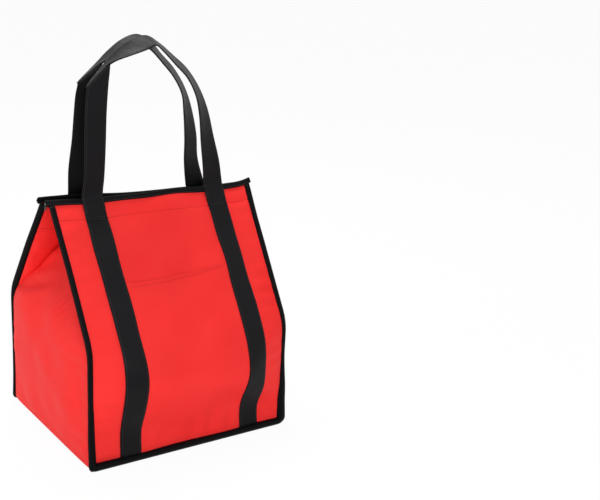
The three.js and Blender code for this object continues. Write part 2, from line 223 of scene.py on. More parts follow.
def mixed(level: Sequence[Array], times: Array, i: int, span: int, t: Array) -> Array:
    """One step of the curve's pyramid: rows i and i + 1, mixed by where t lies between their knots."""
    low, high = (times[1], times[2]) if span == 3 else (times[i], times[i + span])
    return (level[i] * (high - t) + level[i + 1] * (t - low)) / (high - low)


class Ripples:
    """A smooth, repeatable bumpiness of about one wavelength: a sum of plane waves."""

    WAVES = 14

    def __init__(self, seed: int, wavelength: float) -> None:
        """Draws the waves.

        Args:
            seed: Which of the possible patterns this is.
            wavelength: The usual distance between its bumps.
        """
        draw = np.random.default_rng(seed)
        angle = draw.uniform(0.0, math.tau, self.WAVES)
        number = math.tau / (wavelength * draw.uniform(0.75, 1.6, self.WAVES))
        self.across = number * np.cos(angle)
        self.along = number * np.sin(angle)
        self.phase = draw.uniform(0.0, math.tau, self.WAVES)

    def __call__(self, u: Array, v: Array) -> Array:
        """The height at (u, v), mostly between -2 and 2."""
        waves = np.asarray(u)[..., None] * self.across + np.asarray(v)[..., None] * self.along
        return np.sin(waves + self.phase).sum(-1) / math.sqrt(self.WAVES / 2)


# Shader graphs


class Value:
    """A shader socket that takes part in sums, so that shader maths reads as Python."""

    def __init__(self, graph: "Graph", socket: bpy.types.NodeSocket) -> None:
        """Wraps a socket of a graph."""
        self.graph = graph
        self.socket = socket

    def do(self, operation: str, *terms: "Value | float") -> "Value":
        """Adds a Math node.

        Args:
            operation: The Math node's operation.
            *terms: Its inputs, in order.

        Returns:
            The node's result.
        """
        made = self.graph.node("ShaderNodeMath", {"operation": operation}, dict(enumerate(terms)))
        return Value(self.graph, made.outputs[0])

    def __add__(self, other: "Value | float") -> "Value":
        """self + other."""
        return self.do("ADD", self, other)

    def __sub__(self, other: "Value | float") -> "Value":
        """self - other."""
        return self.do("SUBTRACT", self, other)

    def __rsub__(self, other: float) -> "Value":
        """other - self."""
        return self.do("SUBTRACT", other, self)

    def __mul__(self, other: "Value | float") -> "Value":
        """self * other."""
        return self.do("MULTIPLY", self, other)

    __radd__ = __add__
    __rmul__ = __mul__

    def sin(self) -> "Value":
        """The sine of self."""
        return self.do("SINE", self)


class Graph:
    """The nodes of one material or of the world."""

    def __init__(self, tree: bpy.types.NodeTree) -> None:
        """Clears a node tree and takes it over."""
        self.tree = tree
        tree.nodes.clear()

    def node(self, kind: str, settings: Settings = None, sockets: Sockets = None) -> bpy.types.Node:
        """Adds a node.

        Args:
            kind: The node's type.
            settings: Its properties, set first. A colour ramp's stops go under "stops".
            sockets: Its inputs by name or number: a Value is linked, anything else is set.

        Returns:
            The node.
        """
        made = self.tree.nodes.new(kind)
        for name, setting in (settings or {}).items():
            if name == "stops":
                for element, (place, grey) in zip(made.color_ramp.elements, setting, strict=True):
                    element.position = place
                    element.color = (grey, grey, grey, 1.0)
            else:
                setattr(made, name, setting)
        for key, given in (sockets or {}).items():
            if isinstance(given, Value):
                self.tree.links.new(given.socket, made.inputs[key])
            else:
                made.inputs[key].default_value = given
        return made

    def value(
        self, kind: str, output: Any = 0, settings: Settings = None, sockets: Sockets = None
    ) -> Value:
        """Adds a node and wraps one of its outputs.

        Args:
            kind: The node's type.
            output: The output's name or number.
            settings: As for node.
            sockets: As for node.

        Returns:
            The wrapped output.
        """
        return Value(self, self.node(kind, settings, sockets).outputs[output])

    def cloth(self) -> tuple[Value, Value, Value]:
        """The cloth map: its vector, and metres across and along the cloth.

        Returns:
            The three values.
        """
        place = self.value("ShaderNodeUVMap", "UV", {"uv_map": CLOTH_MAP})
        parts = self.node("ShaderNodeSeparateXYZ", sockets={0: place})
        return place, Value(self, parts.outputs[0]), Value(self, parts.outputs[1])

    def noise(self, place: Value, scale: float, detail: float = 2.0) -> Value:
        """Noise from 0 to 1 at so many bumps per metre."""
        sockets = {"Vector": place, "Scale": scale, "Detail": detail}
        return self.value("ShaderNodeTexNoise", sockets=sockets)

    def mix(self, share: Value, low: Sequence[float], high: Sequence[float]) -> Value:
        """A colour between two, by share."""
        sockets = {0: share, 6: (*low, 1.0), 7: (*high, 1.0)}
        return self.value("ShaderNodeMix", 2, {"data_type": "RGBA"}, sockets)

    def bump(self, height: Value, distance: float, strength: float) -> Value:
        """The normal of a surface whose height is from 0 to 1 times distance."""
        sockets = {"Height": height, "Distance": distance, "Strength": strength}
        return self.value("ShaderNodeBump", sockets=sockets)


def colour(hex_code: str) -> Triple:
    """The linear colour of a six-digit screen colour."""
    parts = [int(hex_code[i : i + 2], 16) / 255 for i in (0, 2, 4)]
    return tuple(p / 12.92 if p <= 0.04045 else ((p + 0.055) / 1.055) ** 2.4 for p in parts)


@dataclass(frozen=True)
class Finish:
    """A surface finish of two shades, made into a material the first time it is asked for."""

    name: str
    light: Triple
    dark: Triple

    def surface(self, graph: Graph) -> dict[str, Any]:
        """The inputs of the material's Principled shader, by name."""
        raise NotImplementedError

    def material(self) -> bpy.types.Material:
        """Finds or makes this finish's material.

        Returns:
            The material.
        """
        found = bpy.data.materials.get(self.name)
        if found is None:
            found = bpy.data.materials.new(self.name)
            found.use_nodes = True
            graph = Graph(found.node_tree)
            shader = graph.value("ShaderNodeBsdfPrincipled", 0, None, self.surface(graph))
            graph.node("ShaderNodeOutputMaterial", None, {"Surface": shader})
        return found


@dataclass(frozen=True)
class PressedCloth(Finish):
    """Spun-bonded cloth, held together by a grid of small pressed dots, with fibres between them."""

    pitch: float = 0.0019
    dent: float = 0.0002
    slack: float = 0.0009
    roughness: float = 0.56
    specular: float = 0.2
    sheen: float = 0.0

    def surface(self, graph: Graph) -> dict[str, Any]:
        """Dots pressed into matted fibres, uneven dye and a slack surface.

        Args:
            graph: The material's nodes.

        Returns:
            The shader's inputs.
        """
        place, across, along = graph.cloth()
        turn = math.tau / self.pitch
        waves = (across * turn).sin() * (along * turn).sin()
        dots = graph.value("ShaderNodeValToRGB", 0, {"stops": ((0.35, 0.0), (0.8, 1.0))}, {0: waves})
        fibres = graph.noise(place, 1100.0, 4.0)
        cloud = graph.noise(place, 15.0, 4.0)
        slack = graph.noise(place, 48.0, 3.0)
        dye = 0.35 * fibres + 0.65 * cloud - 0.3 * dots
        nap = graph.bump(0.3 * fibres - 0.7 * dots, self.dent, 0.7)
        over_nap = {"Height": slack, "Distance": self.slack, "Strength": 0.5, "Normal": nap}
        return {
            "Base Color": graph.mix(dye, self.dark, self.light),
            "Roughness": self.roughness - 0.08 + 0.12 * cloud + 0.06 * fibres,
            "Normal": graph.value("ShaderNodeBump", sockets=over_nap),
            "Specular IOR Level": self.specular,
            "Sheen Weight": self.sheen,
            "Sheen Roughness": 0.35,
        }


@dataclass(frozen=True)
class RibbedTape(Finish):
    """Folded tape with fine ribs straight across it."""

    rib: float = 0.0011
    relief: float = 0.0002
    roughness: float = 0.5

    def surface(self, graph: Graph) -> dict[str, Any]:
        """Ribs across the tape, broken by loose fibres.

        Args:
            graph: The material's nodes.

        Returns:
            The shader's inputs.
        """
        place, _, along = graph.cloth()
        ribs = 0.5 + 0.5 * (along * (math.tau / self.rib)).sin()
        fibres = graph.noise(place, 800.0)
        wear = graph.noise(place, 30.0, 4.0)
        height = 0.75 * ribs + 0.25 * fibres
        return {
            "Base Color": graph.mix(0.45 * height + 0.55 * wear, self.dark, self.light),
            "Roughness": self.roughness - 0.08 + 0.16 * wear,
            "Normal": graph.bump(height, self.relief, 0.8),
            "Specular IOR Level": 0.25,
        }


@dataclass(frozen=True)
class Foil(Finish):
    """Silver film on a thin backing, crumpled by use."""

    crease: float = 26.0
    fine_crease: float = 80.6
    relief: float = 0.0016

    def surface(self, graph: Graph) -> dict[str, Any]:
        """Flat facets between creases, with a fine grain.

        Args:
            graph: The material's nodes.

        Returns:
            The shader's inputs.
        """
        place, _, _ = graph.cloth()
        facets, finer = (
            graph.value("ShaderNodeTexVoronoi", 0, {"feature": "F1"}, {"Vector": place, "Scale": scale})
            for scale in (self.crease, self.fine_crease)
        )
        grain = graph.noise(place, 500.0)
        height = 0.6 * facets + 0.25 * finer + 0.15 * grain
        return {
            "Base Color": graph.mix(height, self.light, self.dark),
            "Metallic": 0.55,
            "Roughness": 0.3 + 0.2 * height,
            "Normal": graph.bump(height, self.relief, 0.7),
        }


@dataclass(frozen=True)
class Thread(Finish):
    """Twisted sewing thread."""

    twist: float = 0.0006

    def surface(self, graph: Graph) -> dict[str, Any]:
        """Strands that wind round the thread.

        Args:
            graph: The material's nodes.

        Returns:
            The shader's inputs.
        """
        _, across, along = graph.cloth()
        strands = 0.5 + 0.5 * ((across + along) * (math.tau / self.twist)).sin()
        return {
            "Base Color": graph.mix(strands, self.dark, self.light),
            "Roughness": 0.5 + 0.1 * strands,
            "Normal": graph.bump(strands, 0.0001, 0.5),
        }


@dataclass(frozen=True)
class PlatedMetal(Finish):
    """Nickel-plated die casting with small scratches."""

    streaks: Triple = (300.0, 2600.0, 2600.0)

    def surface(self, graph: Graph) -> dict[str, Any]:
        """Brushed streaks along the piece and a worn sheen.

        Args:
            graph: The material's nodes.

        Returns:
            The shader's inputs.
        """
        place = graph.value("ShaderNodeTexCoord", "Object")
        streaked = graph.value("ShaderNodeMapping", sockets={"Vector": place, "Scale": self.streaks})
        streaks = graph.noise(streaked, 1.0, 3.0)
        worn = graph.noise(place, 260.0, 3.0)
        return {
            "Base Color": graph.mix(worn, self.dark, self.light),
            "Metallic": 1.0,
            "Roughness": 0.18 + 0.22 * streaks,
            "Normal": graph.bump(streaks, 0.00003, 0.4),
        }


@dataclass(frozen=True)
class StiffBoard(Finish):
    """Dark fluted plastic board with scuffs."""

    flute: float = 0.0036

    def surface(self, graph: Graph) -> dict[str, Any]:
        """Faint flutes along the board under scuffs.

        Args:
            graph: The material's nodes.

        Returns:
            The shader's inputs.
        """
        place = graph.value("ShaderNodeTexCoord", "Object")
        across = graph.value("ShaderNodeSeparateXYZ", "Y", sockets={0: place})
        flutes = 0.5 + 0.5 * (across * (math.tau / self.flute)).sin()
        scuffs = graph.noise(place, 45.0, 5.0)
        return {
            "Base Color": graph.mix(0.3 * flutes + 0.7 * scuffs, self.dark, self.light),
            "Roughness": 0.42 + 0.25 * scuffs,
            "Normal": graph.bump(0.8 * flutes + 0.2 * scuffs, 0.0002, 0.6),
        }


CLOTH = PressedCloth("red_cloth", colour("fd3e3b"), colour("f32b2a"), specular=0.08)
WEBBING = PressedCloth(
    "black_webbing", colour("161417"), colour("070608"), roughness=0.47, specular=0.1, sheen=0.06
)
TAPE = PressedCloth("black_tape", colour("0e0d0f"), colour("050506"), 0.0015, 0.00015, specular=0.05)
ZIP_CLOTH = RibbedTape("zip_weave", colour("1d1d20"), colour("0b0b0d"), rib=0.0007)
NYLON = RibbedTape("nylon_coil", colour("26262a"), colour("101012"), 0.0004, 0.00004, roughness=0.35)
FOIL = Foil("silver_film", colour("e4e6e8"), colour("b4b8bc"))
RED_THREAD = Thread("red_thread", colour("b4161a"), colour("74080b"))
BLACK_THREAD = Thread("black_thread", colour("303034"), colour("101012"))
METAL = PlatedMetal("plated_nickel", colour("d4d5d6"), colour("a8aaac"))
BOARD = StiffBoard("fluted_board", colour("45464a"), colour("2a2b2e"))


# Meshes and pieces


class Draft:
    """The vertices, faces and cloth map of one piece while it is drawn."""

    def __init__(self) -> None:
        """Starts with nothing drawn."""
        self.points: list[Array] = []
        self.faces: list[tuple[int, ...]] = []
        self.places: list[Array] = []
        self.finishes: list[int] = []
        self.count = 0

    def add(self, points: Array) -> int:
        """Adds vertices.

        Args:
            points: Their places.

        Returns:
            The number of the first.
        """
        flat = np.asarray(points, float).reshape(-1, 3)
        first = self.count
        self.points.append(flat)
        self.count += len(flat)
        return first

    def quads(self, corners: Array, places: Array, finish: int = 0) -> None:
        """Adds four-sided faces.

        Args:
            corners: Vertex numbers, four to a row.
            places: The cloth map at those corners.
            finish: Which of the piece's finishes the faces have.
        """
        self.faces.extend(map(tuple, corners.reshape(-1, 4).tolist()))
        self.places.append(places.reshape(-1, 2))
        self.finishes.extend([finish] * (corners.size // 4))

    def polygon(self, corners: Sequence[int]) -> None:
        """Adds one face of any number of sides, in the first finish.

        Args:
            corners: Its vertices' numbers.
        """
        self.faces.append(tuple(corners))
        self.places.append(np.zeros((len(corners), 2)))
        self.finishes.append(0)

    @staticmethod
    def cells(rows: Array) -> Array:
        """The four corners of each cell of values in rows."""
        return np.stack([rows[:-1, :-1], rows[:-1, 1:], rows[1:, 1:], rows[1:, :-1]], 2)

    def slab(self, outer: Array, inner: Array, places: Array, inner_finish: int = 0) -> "Draft":
        """Adds a closed sheet between two grids of points.

        Args:
            outer: The outer face's points, in rows.
            inner: The inner face's points, in like rows.
            places: The cloth map of both, in like rows.
            inner_finish: Which finish the inner face has.

        Returns:
            This draft.
        """
        rows, columns = outer.shape[:2]
        first = self.add(outer)
        self.add(inner)
        top = first + np.arange(rows * columns).reshape(rows, columns)
        under = top + rows * columns
        self.quads(self.cells(top), self.cells(places))
        self.quads(self.cells(under)[:, :, ::-1], self.cells(places)[:, :, ::-1], inner_finish)
        edge = np.concatenate([top[0, :-1], top[:-1, -1], top[-1, :0:-1], top[:0:-1, 0]])
        flat = places.reshape(-1, 2)
        following = np.roll(edge, -1)
        corners = np.stack([following, edge, edge + rows * columns, following + rows * columns], -1)
        at = np.stack([flat[following - first], flat[edge - first]] * 2, 1)[:, [0, 1, 3, 2]]
        self.quads(corners, at)
        return self

    def tube(self, rings: Array, along: Array, around: Array, closed: bool = False) -> "Draft":
        """Adds a strip through a row of like outlines.

        Args:
            rings: The outlines' points, one row per outline.
            along: Each outline's place along the cloth.
            around: Each outline point's place across the cloth, and the first point's again at the end.
            closed: Whether the last outline joins the first, so that there are no caps.

        Returns:
            This draft.
        """
        count, sides = rings.shape[:2]
        first = self.add(rings)
        number = first + np.arange(count * sides).reshape(count, sides)
        number = np.concatenate([number, number[:, :1]], 1)
        places = grid(around[None, :], along[:, None])
        if closed:
            number = np.concatenate([number, number[:1]])
            places = np.concatenate([places, places[:1]])
        self.quads(self.cells(number), self.cells(places))
        if not closed:
            self.polygon(number[0, :-1][::-1].tolist())
            self.polygon(number[-1, :-1].tolist())
        return self

    def make(self, name: str, finishes: Sequence[Finish], sharp: float | None = None) -> bpy.types.Object:
        """Makes the drawn mesh into an object of the scene.

        Args:
            name: The object's name.
            finishes: Its finishes, in the order that the faces number them.
            sharp: The angle past which edges stay sharp, or None for none.

        Returns:
            The object.
        """
        mesh = bpy.data.meshes.new(name)
        mesh.from_pydata(np.concatenate(self.points).tolist(), [], self.faces)
        layer = mesh.uv_layers.new(name=CLOTH_MAP)
        layer.uv.foreach_set("vector", np.concatenate(self.places).astype(np.float32).ravel())
        mesh.polygons.foreach_set("material_index", self.finishes)
        mesh.shade_smooth()
        for finish in finishes:
            mesh.materials.append(finish.material())
        work = bmesh.new()
        work.from_mesh(mesh)
        bmesh.ops.recalc_face_normals(work, faces=work.faces)
        work.to_mesh(mesh)
        work.free()
        if sharp is not None:
            mesh.set_sharp_from_angle(angle=sharp)
        made = bpy.data.objects.new(name, mesh)
        bpy.context.scene.collection.objects.link(made)
        return made


@dataclass(frozen=True)
class Rides:
    """Carried whole by one body."""

    body: str

    def hang(self, piece: bpy.types.Object) -> None:
        """Hangs a piece on its body."""
        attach(piece, self.body)


@dataclass(frozen=True)
class Bends:
    """Names two bodies and the points between which a piece would bend; the piece is only baked in place, not
    bent.
    """

    near: str
    far: str
    start: Triple
    end: Triple

    def hang(self, piece: bpy.types.Object) -> None:
        """Bakes a piece's place into its mesh; it is not hung on either body."""
        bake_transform(piece)


@dataclass(frozen=True)
class Cut:
    """How a sheet was cut and how it is held."""

    width: float
    length: float
    held: Held
    rests_on: tuple[str, ...]
    area: float

    @staticmethod
    def of(points: Array, held: Held, rests_on: str) -> "Cut":
        """The cut that a grid of points comes from: as wide and as long as its longest row and column.

        Args:
            points: The sheet's points, in rows.
            held: How the sheet is held.
            rests_on: The piece that carries it.

        Returns:
            The cut.
        """
        width = max(lengths(row)[-1] for row in points)
        length = max(lengths(column)[-1] for column in points.swapaxes(0, 1))
        cells = Draft.cells(points)
        crossed = np.cross(cells[:, :, 2] - cells[:, :, 0], cells[:, :, 3] - cells[:, :, 1])
        area = float(np.linalg.norm(crossed, axis=-1).sum() / 2)
        return Cut(width, length, held, (rests_on,), min(area, width * length))


@dataclass
class Piece:
    """One visible piece, with its finish, what carries it and the nodes that it stands for."""

    name: str
    draft: Draft
    finishes: tuple[Finish, ...]
    slot: Slot
    carrier: Rides | Bends
    stands_for: tuple[str, ...] = ()
    sharp: float | None = None
    cut: Cut | None = None
    fill: float | None = None

    def make(self) -> bpy.types.Object:
        """Returns:
            The piece's object.
        """
        made = self.draft.make(self.name, self.finishes, self.sharp)
        self.carrier.hang(made)
        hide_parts(*self.stands_for)
        log.info("%s: %d faces", self.name, len(made.data.polygons))
        return made


class SubAssembly:
    """A group of pieces that are drawn, dressed and hung together."""

    def build(self) -> list[Piece]:
        """Draws the pieces and names their finishes."""
        raise NotImplementedError

    def dress(self) -> list[bpy.types.Object]:
        """Makes the drawn pieces into objects with their finishes, hung on their bodies or baked in place."""
        return [piece.make() for piece in self.build()]


def ribbon_outline(width: float, thickness: float) -> Array:
    """The outline of a flat strap with soft edges.

    Args:
        width: The strap's width.
        thickness: Its thickness.

    Returns:
        (across, out) pairs, once round.
    """
    edge, side, half = thickness * 0.45, width / 2, thickness / 2
    top = grid(np.linspace(-side + edge, side - edge, 10), half)
    nose = np.array([[side - edge * 0.25, half * 0.7], [side, 0.0], [side - edge * 0.25, -half * 0.7]])
    return np.concatenate([top, nose, -top, -nose])


def folded_outline(face: Sequence[Pair]) -> Array:
    """The whole outline of a folded tape, from one face of it and the other mirrored."""
    drawn = np.array(face)
    return np.concatenate([drawn, (drawn * [1, -1])[:0:-1]])


def lengths(path: Array) -> Array:
    """How far along a path each of its points is."""
    return np.concatenate([[0.0], np.cumsum(np.linalg.norm(np.diff(path, axis=0), axis=-1))])


def around(outline: Array) -> Array:
    """How far round an outline each of its points is, and the whole way round at the end."""
    return lengths(np.concatenate([outline, outline[:1]]))


@dataclass(frozen=True)
class Seam:
    """A row of stitches on a surface."""

    pitch: float = 0.0034
    share: float = 0.72
    width: float = 0.0006
    height: float = 0.0005

    def sew(self, draft: Draft, path: Array, out: Array) -> None:
        """Draws stitches along a path.

        Args:
            draft: Where they are drawn.
            path: Points on the surface, close together.
            out: The way out of the surface at each.
        """
        run = lengths(path)
        for k in range(int(run[-1] / self.pitch)):
            ends = (k + 0.5) * self.pitch + np.array([-0.5, -0.22, 0.22, 0.5]) * self.share * self.pitch
            at = np.stack([np.interp(ends, run, path[:, i]) for i in range(3)], -1)
            up = unit(np.array([np.interp(ends[1], run, out[:, i]) for i in range(3)]))
            ahead = unit(at[3] - at[0])
            beside = np.cross(up, ahead) * self.width / 2
            lift = up * self.height
            rings = [at[i] + np.stack([beside, lift, -beside, -0.4 * lift]) for i in (1, 2)]
            first = draft.add(np.concatenate([[at[0] - 0.3 * lift], *rings, [at[3] - 0.3 * lift]]))
            low = first + 1 + np.arange(4)
            following = np.roll(low, -1)
            corners = np.stack([low, following, following + 4, low + 4], -1)
            draft.quads(corners, np.tile([[0, 0], [1, 0], [1, 1], [0, 1]], (4, 1)) * self.pitch)
            for i, j in zip(low.tolist(), following.tolist()):
                draft.polygon((first, j, i))
                draft.polygon((first + 9, i + 4, j + 4))


# The soft shape of the bag


@dataclass(frozen=True)
class BagShape:
    """The bag's seams, between the middles of their tapes, as the part's source has them."""

    half_width: float = 0.165
    half_depth: float = 0.142
    bend_height: float = 0.180
    top_height: float = 0.366
    half_gap: float = 0.017
    gusset_top_half: float = 0.103
    wall_half: float = 0.00295
    hem_depth: float = 0.0285
    strap_x: float = 0.103
    strap_width: float = 0.034
    tip_x: float = -0.026
    tip_y: float = 0.029
    pull_in: float = 0.0005
    corner_lift: float = 0.005
    raised: float = 0.0032
    front_foot: float = 0.0025
    back_foot: float = 0.003
    front_skew: float = 0.005
    back_skew: float = 0.002
    back_pull: float = 0.004
    back_close: float = 0.008
    back_drop: float = 0.0075
    front_tilt: float = 0.002
    foot_span: Pair = (0.05, 0.0)
    raise_span: Pair = (0.0, 0.06)
    ear_span: Pair = (0.86, 1.0)
    ear_depth: Pair = (0.01, -0.01)
    head_span: Pair = (0.74, 1.0)
    left_span: Pair = (-0.09, -0.17)
    close_span: Pair = (0.0, 0.15)
    drop_span: Pair = (-0.13, 0.0)
    left_tilt: Pair = (-0.12, -0.16)
    right_tilt: Pair = (0.0, 0.12)

    @property
    def lean(self) -> float:
        """How far the upper walls lean from upright."""
        return math.atan2(self.half_depth - self.half_gap, self.top_height - self.bend_height)

    @property
    def slope(self) -> float:
        """The upper wall's length up its slope."""
        return math.hypot(self.half_depth - self.half_gap, self.top_height - self.bend_height)

    @property
    def length(self) -> float:
        """A wall's length from the ground to the mouth."""
        return self.bend_height + self.slope

    @property
    def hem(self) -> float:
        """How far up a wall its hem is stitched."""
        return self.length - self.hem_depth

    @property
    def fold_length(self) -> float:
        """The length of a gusset's leaf, from the bend to the mouth."""
        return math.sqrt(self.slope**2 - (self.half_depth - self.gusset_top_half) ** 2)

    @property
    def fold_tilt(self) -> float:
        """How far a gusset's leaf tips inwards, so that the gusset's upper edge still reaches both walls."""
        rise, leaf = self.top_height - self.bend_height, self.fold_length
        return math.acos((leaf**2 - self.gusset_top_half**2 + self.half_gap**2 + rise**2) / (2 * rise) / leaf)

    @property
    def up_slope(self) -> Array:
        """The way up the front's slope."""
        return np.array([0.0, math.sin(self.lean), math.cos(self.lean)])

    @property
    def out_of_slope(self) -> Array:
        """The way out of the front's slope."""
        return np.array([0.0, -math.cos(self.lean), math.sin(self.lean)])

    def settle(self, points: Array) -> Array:
        """Moves drawn points to where the standing bag has sunk to.

        Its bend line tips, its foot spreads, the mouth's left end leans back, its right end closes up with
        the back edge lower than the front one, and its front right corner stands up.

        Args:
            points: The drawn points, in the world.

        Returns:
            The settled points.
        """
        x, y, z = points[..., 0], points[..., 1], points[..., 2]
        rise, up = z / self.bend_height, z / self.top_height
        fall = (self.top_height - z) / (self.top_height - self.bend_height)
        tip = (self.tip_x * x + self.tip_y * y) * smooth(np.minimum(rise, fall))
        deep = np.clip(y / self.half_depth, -1.05, 1.05)
        corner = np.clip(np.abs(x) / self.half_width, 0, 1) ** 6 * np.minimum(np.abs(deep), 1) ** 6
        waist = self.pull_in * corner * np.sin(math.pi * np.clip(rise, 0, 1)) ** 2
        foot = np.where(y < 0, self.front_foot, self.back_foot)
        spread = foot * ramp(z, *self.foot_span) * deep * np.abs(deep)
        ear = np.clip(x / self.half_width, 0, 1.05) ** 9 * ramp(up, *self.ear_span)
        lift = self.corner_lift * ear * ramp(y, *self.ear_depth) + self.raised * ramp(z, *self.raise_span)
        head, back = ramp(up, *self.head_span), ramp(y, 0.0, self.half_gap)
        left_end = ramp(x, *self.left_span)
        skew = left_end * (self.front_skew + (self.back_skew - self.front_skew) * back)
        skew -= self.back_close * ramp(x, *self.close_span) * back
        drop = self.back_drop * ramp(x, *self.drop_span) * back
        drop -= self.front_tilt * (ramp(x, *self.left_tilt) - ramp(x, *self.right_tilt)) * (1 - back)
        return np.stack([
            x - np.sign(x) * waist + self.back_pull * head * left_end * back,
            y - np.sign(y) * waist * 0.4 + spread + head * skew,
            z + tip + lift - head * drop,
        ], -1)


def softened(drawn: Surface, first: Array, s: Array, reach: Array) -> Array:
    """A drawn surface, averaged along s over a reach, so that its bends are soft.

    Args:
        drawn: The surface, of two values.
        first: The surface's other value.
        s: How far up the cloth.
        reach: How far the average goes at each place.

    Returns:
        The softened points.
    """
    taps = np.linspace(-2.0, 2.0, 9)
    weights = np.exp(-taps * taps / 2)
    weights /= weights.sum()
    return sum(weight * drawn(first, s + reach * tap) for weight, tap in zip(weights, taps))


def out_of(surface: Surface, u: Array, v: Array, step: float = 0.0008) -> Array:
    """The way out of a surface of two values, where u and then v turn to it by the right hand.

    Args:
        surface: The surface.
        u: Its first value.
        v: Its second value.
        step: How far to each side the slope is measured.

    Returns:
        Unit vectors.
    """
    across = surface(u + step, v) - surface(u - step, v)
    along = surface(u, v + step) - surface(u, v - step)
    return unit(np.cross(across, along))


@dataclass(frozen=True)
class PaddedSurface:
    """What walls and gussets share: an outer face of a value across and of s, the way up the cloth."""

    OUTWARDS: ClassVar[float]
    CROSSING: ClassVar[Pair]

    panel: Half | Side
    shape: BagShape
    seed: int

    def middle(self, across: Array, s: Array) -> Array:
        """The panel's middle, as drawn."""
        raise NotImplementedError

    def relief(self, across: Array, s: Array) -> Array:
        """How far the cloth stands out of the panel's middle."""
        raise NotImplementedError

    def swell(self, s: Array, low: Array, belly: float, belly_height: float, bend_belly: float) -> Array:
        """How far the panel's crown stands out: by low up to the belly, and then less up to the bend.

        Args:
            s: How far up the cloth.
            low: The swell below the belly.
            belly: The swell at the belly.
            belly_height: How far up the belly is.
            bend_belly: The swell at the bend.

        Returns:
            The swell at each place.
        """
        past = np.clip((s - belly_height) / (self.shape.bend_height - belly_height), 0.0, 1.0)
        high = bend_belly + (belly - bend_belly) * np.cos(math.pi / 2 * past)
        return np.where(s < belly_height, low, high)

    def drawn_out(self, across: Array, s: Array) -> Array:
        """The way out of the panel, as drawn."""
        return self.OUTWARDS * out_of(self.middle, np.asarray(across, float), np.asarray(s, float))

    def out(self, across: Array, s: Array) -> Array:
        """The way out of the panel, in the world."""
        return self.panel.world(self.drawn_out(across, s))

    def at(self, across: Array, s: Array, lift: Array | float = 0.0) -> Array:
        """Points on the settled outer face, lifted off it."""
        return self.inside(across, s, -(self.relief(across, s) + lift))

    def inside(self, across: Array, s: Array, depth: Array | float) -> Array:
        """Points at a depth below the panel's middle."""
        deep = np.asarray(depth)
        return self.place(self.middle(across, s) - self.drawn_out(across, s) * deep[..., None])

    def place(self, points: Array) -> Array:
        """Turns drawn points to the world, and settles them."""
        return self.shape.settle(self.panel.world(points))

    def carrier(self) -> Bends:
        """What carries cloth that crosses this panel's bend."""
        x, y, z = self.panel.world(np.array([*self.CROSSING, self.shape.bend_height]))
        return Bends("lower_body", self.panel.upper, (x, y, z - 0.022), (x, y, z + 0.026))


def puckered(distance: Array, reach: float) -> Array:
    """How much a seam's puckers show at a distance from it: nothing under the tape, most just past it."""
    share = np.maximum(distance / reach, 0.0)
    return 2.7 * np.maximum(share - 0.25, 0.0) * np.exp(-share)


@dataclass(frozen=True)
class WallSurface(PaddedSurface):
    """The outer face of the front or back wall: x across it, and s up the cloth from the ground."""

    OUTWARDS = 1.0
    CROSSING = (0.0, -0.16)

    belly: float = 0.0285
    belly_foot: float = 0.023
    belly_height: float = 0.127
    bend_belly: float = 0.0105
    fade: float = 1.7
    crown_power: float = 4.0
    bend_softness: float = 0.013
    bend_reach: float = 0.075
    edge_pad: float = 0.35
    pad_reach: float = 0.006
    pucker: float = 0.0009
    pucker_reach: float = 0.014
    sway: float = 0.0014
    hem_groove: float = 0.0009
    strap_press: float = 0.0008
    pinch: float = 0.002
    pinch_at: Spot = (0.018, 0.012, 0.150, 0.022)

    def drawn(self, x: Array, s: Array) -> Array:
        """The wall's middle with its swell, and a sharp bend.

        Args:
            x: How far across the wall.
            s: How far up the cloth.

        Returns:
            The drawn points.
        """
        shape = self.shape
        x, s = paired(x, s)
        climb = np.maximum(s - shape.bend_height, 0.0)
        low = self.belly * smooth((s - self.belly_foot) / (self.belly_height - self.belly_foot))
        upright = self.swell(s, low, self.belly, self.belly_height, self.bend_belly)
        high = self.bend_belly * np.maximum(0.0, 1 - climb / shape.slope) ** self.fade
        rise = np.where(s < shape.bend_height, upright, high)
        crown = 1 - np.minimum(1.0, np.abs(x) / shape.half_width) ** self.crown_power
        y = -(shape.half_depth - math.sin(shape.lean) * climb + crown * rise)
        z = np.minimum(s, shape.bend_height) + math.cos(shape.lean) * climb
        return np.stack([x, y, z], -1)

    def middle(self, x: Array, s: Array) -> Array:
        """The wall's middle with a soft bend, pinched beside the seams.

        Args:
            x: How far across the wall.
            s: How far up the cloth.

        Returns:
            The drawn points.
        """
        x, s = paired(x, s)
        reach = self.bend_softness * smooth(1 - np.abs(s - self.shape.bend_height) / self.bend_reach)
        points = softened(self.drawn, x, s, reach)
        side = self.shape.half_width - np.abs(x)
        points[..., 1] += self.pinch * patch(side, s, self.pinch_at)
        return points

    def relief(self, x: Array, s: Array) -> Array:
        """How far the cloth stands out of the wall's middle: padding, puckers, seams and slack.

        Args:
            x: How far across the wall.
            s: How far up the cloth.

        Returns:
            The distance at each place.
        """
        shape, reach = self.shape, self.pucker_reach
        x, s = paired(x, s)
        side = np.maximum(shape.half_width - np.abs(x), 0.0)
        foot = np.maximum(s, 0.0)
        head = np.maximum(shape.length - s, 0.0)
        edge = np.minimum(np.minimum(side, foot), head)
        pad = 1 - (1 - self.edge_pad) * np.exp(-edge / self.pad_reach)
        along_side = Ripples(self.seed, 0.020)(s, np.sign(x) * 0.3)
        along_foot = Ripples(self.seed + 1, 0.024)(x, np.zeros_like(x))
        puckers = along_side * puckered(side, reach) + along_foot * puckered(foot - 0.010, reach)
        slack = Ripples(self.seed + 2, 0.085)(x, s) * (1 - np.exp(-edge / 0.03))
        groove = hump(s, shape.hem, 0.0012)
        strap = np.abs(np.abs(x) - shape.strap_x) / (shape.strap_width / 2)
        press = 1 - smooth((strap - 0.92) / 0.3)
        return (
            shape.wall_half * pad
            + self.pucker * puckers * (1 - 0.7 * press)
            + self.sway * slack
            - self.hem_groove * groove
            - self.strap_press * press
        )


